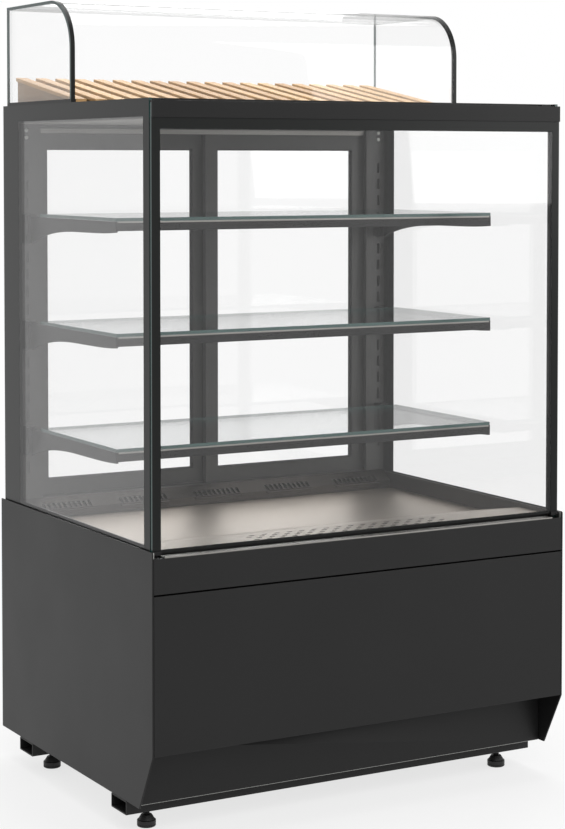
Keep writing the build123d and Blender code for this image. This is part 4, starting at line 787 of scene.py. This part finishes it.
@dataclass
class Assembly:
    """A group of pieces that is built and dressed together."""

    made: list[bpy.types.Object] = field(default_factory=list)

    def build(self) -> None:
        """Build and dress every piece of the group."""
        raise NotImplementedError

    def paint(self, nodes: Sequence[str], finish: Finish) -> None:
        """Give CAD nodes whose shape stays a finish.

        Args:
            nodes: Names of the nodes.
            finish: Their finish.
        """
        for name in nodes:
            data = frame["nodes"][name].data
            data.materials.clear()
            data.materials.append(finish.material())
            LOG.info("painted %s with %s", name, finish.name)

    def soften(self, nodes: Sequence[str], finish: Finish, width: float = 0.6) -> None:
        """Replace CAD nodes by copies whose sharp edges are rounded.

        Args:
            nodes: Names of the nodes.
            finish: Finish of the copies.
            width: Width of the rounding in millimetres.
        """
        for name in nodes:
            mesh = bmesh.new()
            mesh.from_mesh(frame["nodes"][name].data)
            bmesh.ops.remove_doubles(mesh, verts=mesh.verts, dist=SAME_POINT_M)
            bmesh.ops.dissolve_limit(
                mesh, angle_limit=math.radians(FLAT_DEGREES), verts=mesh.verts, edges=mesh.edges
            )
            bmesh.ops.scale(mesh, vec=(1 / MM,) * 3, verts=mesh.verts)
            piece = mesh_object(f"{name}_rounded", mesh, 180.0)
            bevel = piece.modifiers.new("edge", "BEVEL")
            bevel.width = width * MM
            bevel.segments = BEVEL_SEGMENTS
            bevel.limit_method = "ANGLE"
            bevel.angle_limit = math.radians(BEVEL_DEGREES)
            piece.modifiers.new("even", "WEIGHTED_NORMAL")
            self.finish_piece(piece, finish, frame["nodes"][name]["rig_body"])
            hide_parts(name)

    def add(
        self,
        name: str,
        mesh: bmesh.types.BMesh,
        finish: Finish,
        body: str,
        slot: str,
        replaced: Sequence[str] = (),
        smooth_degrees: float = 35.0,
    ) -> bpy.types.Object:
        """Make an object of a mesh in millimetres and dress it.

        Args:
            name: Name of the piece.
            mesh: Its mesh, which is used up.
            finish: Its finish.
            body: CAD body that it moves with.
            slot: Material slot of the record that it belongs to; not used.
            replaced: CAD nodes that it stands for.
            smooth_degrees: Edges flatter than this are shaded smooth.

        Returns:
            The new object.
        """
        piece = mesh_object(name, mesh, smooth_degrees)
        self.finish_piece(piece, finish, body)
        if replaced:
            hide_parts(*replaced)
        return piece

    def finish_piece(self, piece: bpy.types.Object, finish: Finish, body: str) -> None:
        """Give a new piece its material and body.

        Args:
            piece: The piece.
            finish: Its finish.
            body: CAD body that it moves with.
        """
        piece.data.materials.clear()
        piece.data.materials.append(finish.material())
        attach(piece, body)
        self.made.append(piece)
        LOG.info("built %s on %s with %s", piece.name, body, finish.name)


@dataclass
class Base(Assembly):
    """Feet, rails and the coated panels of the lower body."""

    foot_x: float = 393.0
    foot_y: Point2 = (-208.0, 228.0)
    pad_radius: float = 17.5
    stud_radius: float = 6.0
    stud_top: float = 48.0
    thread_pitch: float = 1.75
    screw_x: float = 437.0
    screw_y: float = 345.0
    screw_z: tuple[float, ...] = (90.0, 200.0, 310.0, 352.0, 480.0)
    head_radius: float = 4.0
    head_height: float = 2.0
    post_screw_x: float = 419.0
    post_screw_y: float = 284.0
    post_screw_z: Point2 = (1286.0, 1272.0)

    def build(self) -> None:
        """Build the feet and screws and dress the rails and panels."""
        panels = ("side_panels", "kick_panel", "front_panel", "front_fascia")
        self.soften(panels, BLACK_COAT, 0.8)
        self.paint(("rear_grille_panel", "rear_control_panel"), BLACK_COAT)
        self.soften(("front_sill",), SILL_METAL, 0.3)
        self.paint(("base_rails",), RAIL_COAT)
        self.paint(("foot_nuts", "base_floor", "front_uprights", "pivot_brackets"), ZINC_STEEL)
        for side, x in (("left", -self.foot_x), ("right", self.foot_x)):
            for end, y in zip(("front", "rear"), self.foot_y):
                self.build_foot(f"foot_{end}_{side}", x, y)
        self.build_screws()

    def foot_profile(self) -> list[Point2]:
        """Half section of a foot: grooved pad, cone, neck and threaded stud.

        Returns:
            (radius, height) points in millimetres.
        """
        r = self.pad_radius
        profile = [(0, 0), (r - 2, 0), (r - 0.7, 0.7), (r, 2.0), (r, 3.6), (r - 0.7, 4.2)]
        profile += [(r - 0.7, 5.0), (r, 5.6), (r, 11.8), (r - 0.8, 12.8), (r - 2.2, 13.4)]
        profile += [(10.8, 21.0), (10.0, 22.0), (7.0, 22.0)]
        root = self.stud_radius - 0.55
        turns = int((self.stud_top - 22.6) / self.thread_pitch)
        for n in range(turns):
            z = 22.4 + n * self.thread_pitch
            profile += [(root, z), (self.stud_radius, z + self.thread_pitch / 2)]
        return profile + [(root, self.stud_top - 1), (root - 0.6, self.stud_top), (0, self.stud_top)]

    def build_foot(self, node: str, x: float, y: float) -> None:
        """Build one levelling foot in place of its CAD node.

        Args:
            node: Name of the CAD node and of its body.
            x: Place of the foot across.
            y: Place of the foot along.
        """
        mesh = bmesh.new()
        add_turned(mesh, self.foot_profile(), Axis.Z, Vector((x, y, 0)), 40)
        self.add(f"{node}_turned", mesh, BLACK_NYLON, node, "foot_plastic", (node,))

    def screw_profile(self, out: float) -> list[Point2]:
        """Half section of a domed screw head with a round socket, pointing along out.

        Args:
            out: 1 for a head that points to +Y, and -1 for one that points to -Y.

        Returns:
            (radius, height) points in millimetres.
        """
        r, h = self.head_radius, self.head_height
        points = [(0, 0), (r, 0), (r, h * 0.35), (r * 0.9, h * 0.7), (r * 0.66, h * 0.94)]
        points += [(r * 0.5, h), (r * 0.42, h * 0.96), (r * 0.36, h * 0.3), (0, h * 0.3)]
        return [(radius, out * height) for radius, height in points]

    def build_screws(self) -> None:
        """Build the screw heads of the rear panels and the posts."""
        mesh = bmesh.new()
        for x in both(self.screw_x):
            for z in self.screw_z:
                add_turned(mesh, self.screw_profile(1.0), Axis.Y, Vector((x, self.screw_y, z)), 24)
        for x in both(self.post_screw_x):
            for z in self.post_screw_z:
                spot = Vector((x, self.post_screw_y, z))
                add_turned(mesh, self.screw_profile(-1.0), Axis.Y, spot, 24)
        self.add("screw_heads", mesh, ZINC_STEEL, "case", "zinc_steel", ("panel_screws",))


@dataclass
class DeckAndTub(Assembly):
    """Insulated tub, stainless deck and the low walls round it."""

    def build(self) -> None:
        """Dress the deck, its return strip, the walls and the tub."""
        self.paint(("deck_pan",), DECK_STEEL)
        self.paint(("return_grille",), GRILLE_STEEL)
        self.paint(("inner_walls",), WALL_STEEL)
        # The tub's dark grey is painted shade for the space seen through the holes of the strip.
        self.paint(("insulated_tub",), TUB_SHADE_COAT)


@dataclass
class RearDoors(Assembly):
    """Sliding doors with their surround, posts, gaskets and brush."""

    window_x: Point2 = (24.0, 360.0)
    window_z: Point2 = (569.0, 1250.0)
    door_thick: float = 14.0
    pane_thick: float = 5.0
    inner_y: float = 300.0
    outer_y: float = 320.0
    gasket_reach: float = 3.0
    brush_z: Point2 = (530.0, 1286.0)
    band_half: float = 385.0

    def build(self) -> None:
        """Dress the surround and frames and build gaskets, brush and header band."""
        self.soften(("door_surround", "door_left_frame", "door_right_frame"), FRAME_COAT, 0.7)
        self.paint(("slotted_posts",), FRAME_COAT)
        self.paint(("door_left_glass", "door_right_glass"), DOOR_PANE)
        self.build_gasket("right", 1.0, self.inner_y)
        self.build_gasket("left", -1.0, self.outer_y)
        self.build_brush()
        self.build_header_band()

    def build_gasket(self, side: str, sign: float, door_y: float) -> None:
        """Build the rubber beads that hold one pane, on both of its faces.

        Args:
            side: Name of the side.
            sign: 1 for the right door and -1 for the left one.
            door_y: Place of the inner face of the door.
        """
        low, high = sorted(sign * x for x in self.window_x)
        middle = door_y + self.door_thick / 2
        mesh = bmesh.new()
        for out in (-1.0, 1.0):
            face = middle + out * self.door_thick / 2 - out * 0.4
            pane = middle + out * (self.pane_thick / 2 + 0.05)
            reach = self.gasket_reach
            profile = [(0.0, face), (-1.0, face), (-reach, pane + out * 1.2), (-reach, pane), (0.0, pane)]
            add_frame_bead(mesh, (low, high), self.window_z, profile)
        self.add(f"door_{side}_gasket", mesh, BLACK_RUBBER, f"door_{side}", "frame_grey")

    def build_brush(self) -> None:
        """Build the brush strip between the meeting stiles, on the outer door."""
        mesh = bmesh.new()
        profile = [(-2.6, 319.9), (-2.6, 318.4), (-0.6, 318.0), (-0.4, 315.0), (0.4, 315.0), (0.6, 318.0)]
        profile += [(2.6, 318.4), (2.6, 319.9)]
        add_bar(mesh, profile, Axis.Z, *self.brush_z)
        self.add("door_brush", mesh, BLACK_RUBBER, "door_left", "frame_grey")

    def build_header_band(self) -> None:
        """Build the light metal band on the sloping lower edge of the header."""
        mesh = bmesh.new()
        profile = [(295.0, 1281.2), (290.5, 1290.4), (289.7, 1290.0), (294.1, 1280.9)]
        add_bar(mesh, profile, Axis.X, *both(self.band_half))
        self.add("header_band", mesh, SILL_METAL, "case", "sill_aluminium")


@dataclass
class CaseGlazing(Assembly):
    """Side panes, tilting front pane, their profiles and the top of the case."""

    seal_x: Point2 = (439.9, 444.9)
    seal_y: Point2 = (-333.85, -333.1)
    seal_z: Point2 = (536.0, 1300.0)
    lamp_y: Point2 = (-292.0, -266.0)
    lamp_z: Point2 = (1286.5, 1298.5)
    lamp_half: float = 400.0
    cap_length: float = 4.0

    def build(self) -> None:
        """Dress the panes and profiles and build the seals and the lamp."""
        self.paint(("side_glasses",), SIDE_PANE)
        self.paint(("front_glass",), FRONT_PANE)
        self.soften(("front_glass_bar",), TRIM_COAT, 0.4)
        self.paint(("glazing_profiles", "pivot_shoes", "glass_catches"), TRIM_COAT)
        self.paint(("top_frame",), FRAME_COAT)
        self.paint(("top_panel",), BLACK_COAT)
        self.paint(("ceiling_panel",), CEILING_COAT)
        self.build_seals()
        self.build_lamp()

    def build_seals(self) -> None:
        """Build the rubber strips between the front pane and the side panes."""
        mesh = bmesh.new()
        for sign in (-1.0, 1.0):
            x0, x1 = sorted(sign * x for x in self.seal_x)
            add_bar(mesh, rectangle((x0, self.seal_y[0]), (x1, self.seal_y[1]), 0.2), Axis.Z, *self.seal_z)
        self.add("pane_seals", mesh, BLACK_RUBBER, "case", "black_trim")

    def build_lamp(self) -> None:
        """Build the lamp as a metal channel, an opal cover and two end caps."""
        (y0, y1), (z0, z1) = self.lamp_y, self.lamp_z
        inner = self.lamp_half - self.cap_length
        cover = bmesh.new()
        arc = [math.pi * n / 12 for n in range(13)]
        middle, reach = (y0 + y1) / 2, (y1 - y0) / 2 - 1.5
        curve = [(middle + reach * math.cos(a), z0 + 5.0 - 5.0 * math.sin(a)) for a in arc]
        add_bar(cover, [*curve, (y0 + 1.5, z0 + 7), (y1 - 1.5, z0 + 7)][::-1], Axis.X, *both(inner))
        self.add("lamp_cover", cover, LAMP_COVER, "case", "lamp_plastic", ("led_lamp",))
        channel = bmesh.new()
        profile = [(y0, z0 + 4), (y0 + 1.2, z0 + 4), (y0 + 1.2, z0 + 7.4), (y1 - 1.2, z0 + 7.4)]
        profile += [(y1 - 1.2, z0 + 4), (y1, z0 + 4), (y1, z1), (y0, z1)]
        add_bar(channel, profile, Axis.X, *both(inner))
        self.add("lamp_channel", channel, SILL_METAL, "case", "sill_aluminium")
        caps = bmesh.new()
        for sign in (-1.0, 1.0):
            ends = sorted((sign * inner, sign * self.lamp_half))
            add_bar(caps, rectangle((y0, z0), (y1, z1), 2.5), Axis.X, *ends)
        self.add("lamp_caps", caps, GREY_PLASTIC, "case", "lamp_plastic")


@dataclass
class Shelves(Assembly):
    """Glass shelves with their rails, brackets and bright trims."""

    tops: tuple[float, float, float] = (1119.0, 905.0, 691.0)
    trim_half: float = 416.8
    trim_y: Point2 = (-143.7, -143.0)
    trim_drop: Point2 = (9.4, 6.4)

    def build(self) -> None:
        """Dress the panes, rails and brackets and build the trims."""
        self.paint(("shelf_glass_top", "shelf_glass_middle", "shelf_glass_bottom"), SHELF_PANE)
        self.soften(("shelf_rails", "shelf_brackets"), TRIM_COAT, 0.4)
        mesh = bmesh.new()
        for top in self.tops:
            low = (self.trim_y[0], top - self.trim_drop[0])
            high = (self.trim_y[1], top - self.trim_drop[1])
            add_bar(mesh, rectangle(low, high, 0.15), Axis.X, *both(self.trim_half))
        self.add("shelf_trims", mesh, SILL_METAL, "case", "sill_aluminium")


@dataclass
class Canopy(Assembly):
    """Bent glass canopy and its two side panes."""

    half: float = 441.0
    front_y: float = 12.0
    rear_y: float = 330.0
    base_z: float = 1342.0
    top_z: float = 1534.0
    radius: float = 95.5
    thick: float = 6.0
    arc_steps: int = 28

    def build(self) -> None:
        """Build the bent pane and dress the side panes."""
        self.paint(("canopy_sides",), CANOPY_SIDE_PANE)
        mesh = bmesh.new()
        profile = self.skin(0.0) + self.skin(self.thick)[::-1]
        add_bar(mesh, profile, Axis.X, *both(self.half))
        self.add(
            "canopy_bent_pane", mesh, CANOPY_BENT_PANE, "case", "clear_glass", ("canopy_curved_glass",)
        )

    def skin(self, inset: float) -> list[Point2]:
        """One face of the pane from its front foot to its rear edge, as (y, z) points.

        Args:
            inset: Distance from the outer face.

        Returns:
            The points.
        """
        y, z, r = self.front_y + inset, self.top_z - inset, self.radius - inset
        centre = (y + r, z - r)
        points = [(y, self.base_z)]
        for n in range(self.arc_steps + 1):
            a = math.pi / 2 * n / self.arc_steps
            points.append((centre[0] - r * math.cos(a), centre[1] + r * math.sin(a)))
        return [*points, (self.rear_y, z)]


@dataclass
class BreadRack(Assembly):
    """Sloping beech rack in the canopy."""

    def build(self) -> None:
        """Dress the laths and boards."""
        self.paint(("rack_slats",), BEECH)
        self.soften(("rack_boards",), BEECH_BOARD, 0.8)


@dataclass
class Machinery(Assembly):
    """Refrigeration in the base, the condensate tray and the staff side controls."""

    display_x: Point2 = (-304.6, -271.4)
    display_y: Point2 = (348.05, 348.7)
    display_z: Point2 = (408.4, 423.6)

    def build(self) -> None:
        """Dress the machinery and controls and build the display lens."""
        self.paint(("compressor",), ENAMEL_COAT)
        self.paint(("condenser", "evaporator"), FIN_METAL)
        self.paint(("condenser_fan", "evaporator_fan", "fan_motors"), BLACK_NYLON)
        self.paint(("fan_plates",), ZINC_STEEL)
        self.paint(("refrigerant_lines",), COPPER_TUBE)
        self.soften(("condensate_tray",), GREY_PLASTIC, 0.6)
        self.soften(("controller", "power_inlet"), BLACK_NYLON, 0.3)
        self.soften(("key_up", "key_down", "light_switch"), GREY_PLASTIC, 0.2)
        mesh = bmesh.new()
        low = (self.display_x[0], self.display_z[0])
        high = (self.display_x[1], self.display_z[1])
        add_bar(mesh, rectangle(low, high, 0.8), Axis.Y, *self.display_y)
        self.add("display_lens", mesh, DISPLAY_LENS, "case", "control_black")


# Studio


@dataclass
class Studio:
    """Pale floor, soft lamps, white surroundings and the camera."""

    camera_m: tuple[float, float, float] = (-2.0682, -3.6646, 1.2208)
    yaw: float = 0.5166
    pitch_degrees: float = -2.332
    focal_px: float = 2104.5
    shift_px: float = -166.0
    image_px: tuple[int, int] = (565, 829)
    sensor_mm: float = 36.0
    floor_radius_m: float = 40.0
    shadow_radius_m: float = 1.1
    world_light: float = 0.55
    near_white: float = 0.72
    lamps: tuple[tuple[str, tuple[float, float, float], float, float], ...] = (
        ("key", (-1.4, -3.8, 3.0), 60.0, 2.6),
        ("fill", (3.0, -2.8, 2.2), 45.0, 2.4),
        ("top", (0.2, 0.4, 4.2), 70.0, 3.0),
        ("rear", (1.0, 3.4, 2.4), 35.0, 2.4),
    )
    lamp_aim_m: tuple[float, float, float] = (0.0, 0.0, 0.8)

    def build(self) -> None:
        """Build the world, floor, lamps and camera."""
        bpy.context.scene.view_settings.view_transform = "Standard"
        self.build_world()
        self.build_floor()
        for lamp in self.lamps:
            self.add_lamp(*lamp)
        self.build_camera()

    def seen_directly(self, tree: bpy.types.NodeTree) -> bpy.types.NodeSocket:
        """One for rays from the camera, mirrors and glass, and zero for the rest.

        Args:
            tree: Node tree that gets the nodes.

        Returns:
            Socket with the value.
        """
        path = add_node(tree, "ShaderNodeLightPath")
        first = add_node(
            tree,
            "ShaderNodeMath",
            {"operation": "MAXIMUM"},
            {0: path.outputs["Is Camera Ray"], 1: path.outputs["Is Glossy Ray"]},
        )
        return add_node(
            tree,
            "ShaderNodeMath",
            {"operation": "MAXIMUM"},
            {0: first.outputs[0], 1: path.outputs["Is Transmission Ray"]},
        ).outputs[0]

    def build_world(self) -> None:
        """White where it is seen, and a dimmer soft light elsewhere."""
        world = bpy.data.worlds.new("studio")
        bpy.context.scene.world = world
        world.use_nodes = True
        tree = world.node_tree
        tree.nodes.clear()
        soft = add_node(tree, "ShaderNodeBackground", {"Strength": self.world_light})
        soft.inputs["Color"].default_value = linear("#ffffff")
        white = add_node(tree, "ShaderNodeBackground", {"Strength": 1.0})
        white.inputs["Color"].default_value = linear("#ffffff")
        mixed = add_node(
            tree,
            "ShaderNodeMixShader",
            None,
            {0: self.seen_directly(tree), 1: soft.outputs[0], 2: white.outputs[0]},
        )
        add_node(tree, "ShaderNodeOutputWorld", None, {"Surface": mixed.outputs[0]})

    def build_floor(self) -> None:
        """Round floor: it takes the soft shadow near the case and is plain white further out."""
        mesh = bmesh.new()
        bmesh.ops.create_circle(
            mesh, cap_ends=True, cap_tris=True, segments=96, radius=self.floor_radius_m / MM
        )
        floor = mesh_object("floor", mesh, 30.0)
        paper = bpy.data.materials.new("studio_floor_paper")
        paper.use_nodes = True
        tree = paper.node_tree
        tree.nodes.clear()
        where = add_node(tree, "ShaderNodeTexCoord").outputs["Object"]
        distance = add_node(tree, "ShaderNodeVectorMath", {"operation": "LENGTH"}, {0: where})
        far = add_node(
            tree,
            "ShaderNodeMapRange",
            {
                "From Min": self.shadow_radius_m * 0.5,
                "From Max": self.shadow_radius_m,
                "To Min": self.near_white,
            },
            {"Value": distance.outputs["Value"]},
        )
        matt = add_node(tree, "ShaderNodeBsdfDiffuse", {"Color": linear("#f4f4f4")})
        white = add_node(tree, "ShaderNodeEmission", {"Color": linear("#ffffff"), "Strength": 1.0})
        shown = add_node(
            tree, "ShaderNodeMixShader", None, {0: far.outputs[0], 1: matt.outputs[0], 2: white.outputs[0]}
        )
        lighting = add_node(
            tree,
            "ShaderNodeMixShader",
            None,
            {0: self.seen_directly(tree), 1: matt.outputs[0], 2: shown.outputs[0]},
        )
        add_node(tree, "ShaderNodeOutputMaterial", None, {"Surface": lighting.outputs[0]})
        floor.data.materials.append(paper)

    def add_lamp(
        self, name: str, place_m: tuple[float, float, float], watts: float, size_m: float
    ) -> None:
        """Add a square soft lamp that faces the middle of the case.

        Args:
            name: Name of the lamp.
            place_m: Its place in metres.
            watts: Its power.
            size_m: Length of its side.
        """
        data = bpy.data.lights.new(name, "AREA")
        data.energy = watts
        data.size = size_m
        lamp = bpy.data.objects.new(name, data)
        lamp.location = place_m
        aim = Vector(self.lamp_aim_m) - Vector(place_m)
        lamp.rotation_euler = aim.to_track_quat("-Z", "Y").to_euler()
        bpy.context.scene.collection.objects.link(lamp)

    def build_camera(self) -> None:
        """Add the camera at the photograph's place; shifts are shares of the long side."""
        data = bpy.data.cameras.new("camera")
        long_side = max(self.image_px)
        data.sensor_width = self.sensor_mm
        data.lens = self.focal_px / long_side * self.sensor_mm
        data.shift_y = self.shift_px / long_side
        data.clip_end = 200.0
        camera = bpy.data.objects.new("camera", data)
        camera.location = self.camera_m
        pitch = math.radians(self.pitch_degrees)
        aim = Vector(
            (
                math.sin(self.yaw) * math.cos(pitch),
                math.cos(self.yaw) * math.cos(pitch),
                math.sin(pitch),
            )
        )
        camera.rotation_euler = aim.to_track_quat("-Z", "Y").to_euler()
        bpy.context.scene.collection.objects.link(camera)
        bpy.context.scene.camera = camera


def main() -> None:
    """Build every sub-assembly, then the studio."""
    logging.basicConfig(level=logging.INFO, format="%(name)s: %(message)s")
    groups = (
        Base(),
        DeckAndTub(),
        RearDoors(),
        CaseGlazing(),
        Shelves(),
        Canopy(),
        BreadRack(),
        Machinery(),
    )
    for group in groups:
        group.build()
        LOG.info("%s done, %d new pieces", type(group).__name__, len(group.made))
    Studio().build()


if __name__ == "__main__":
    main()
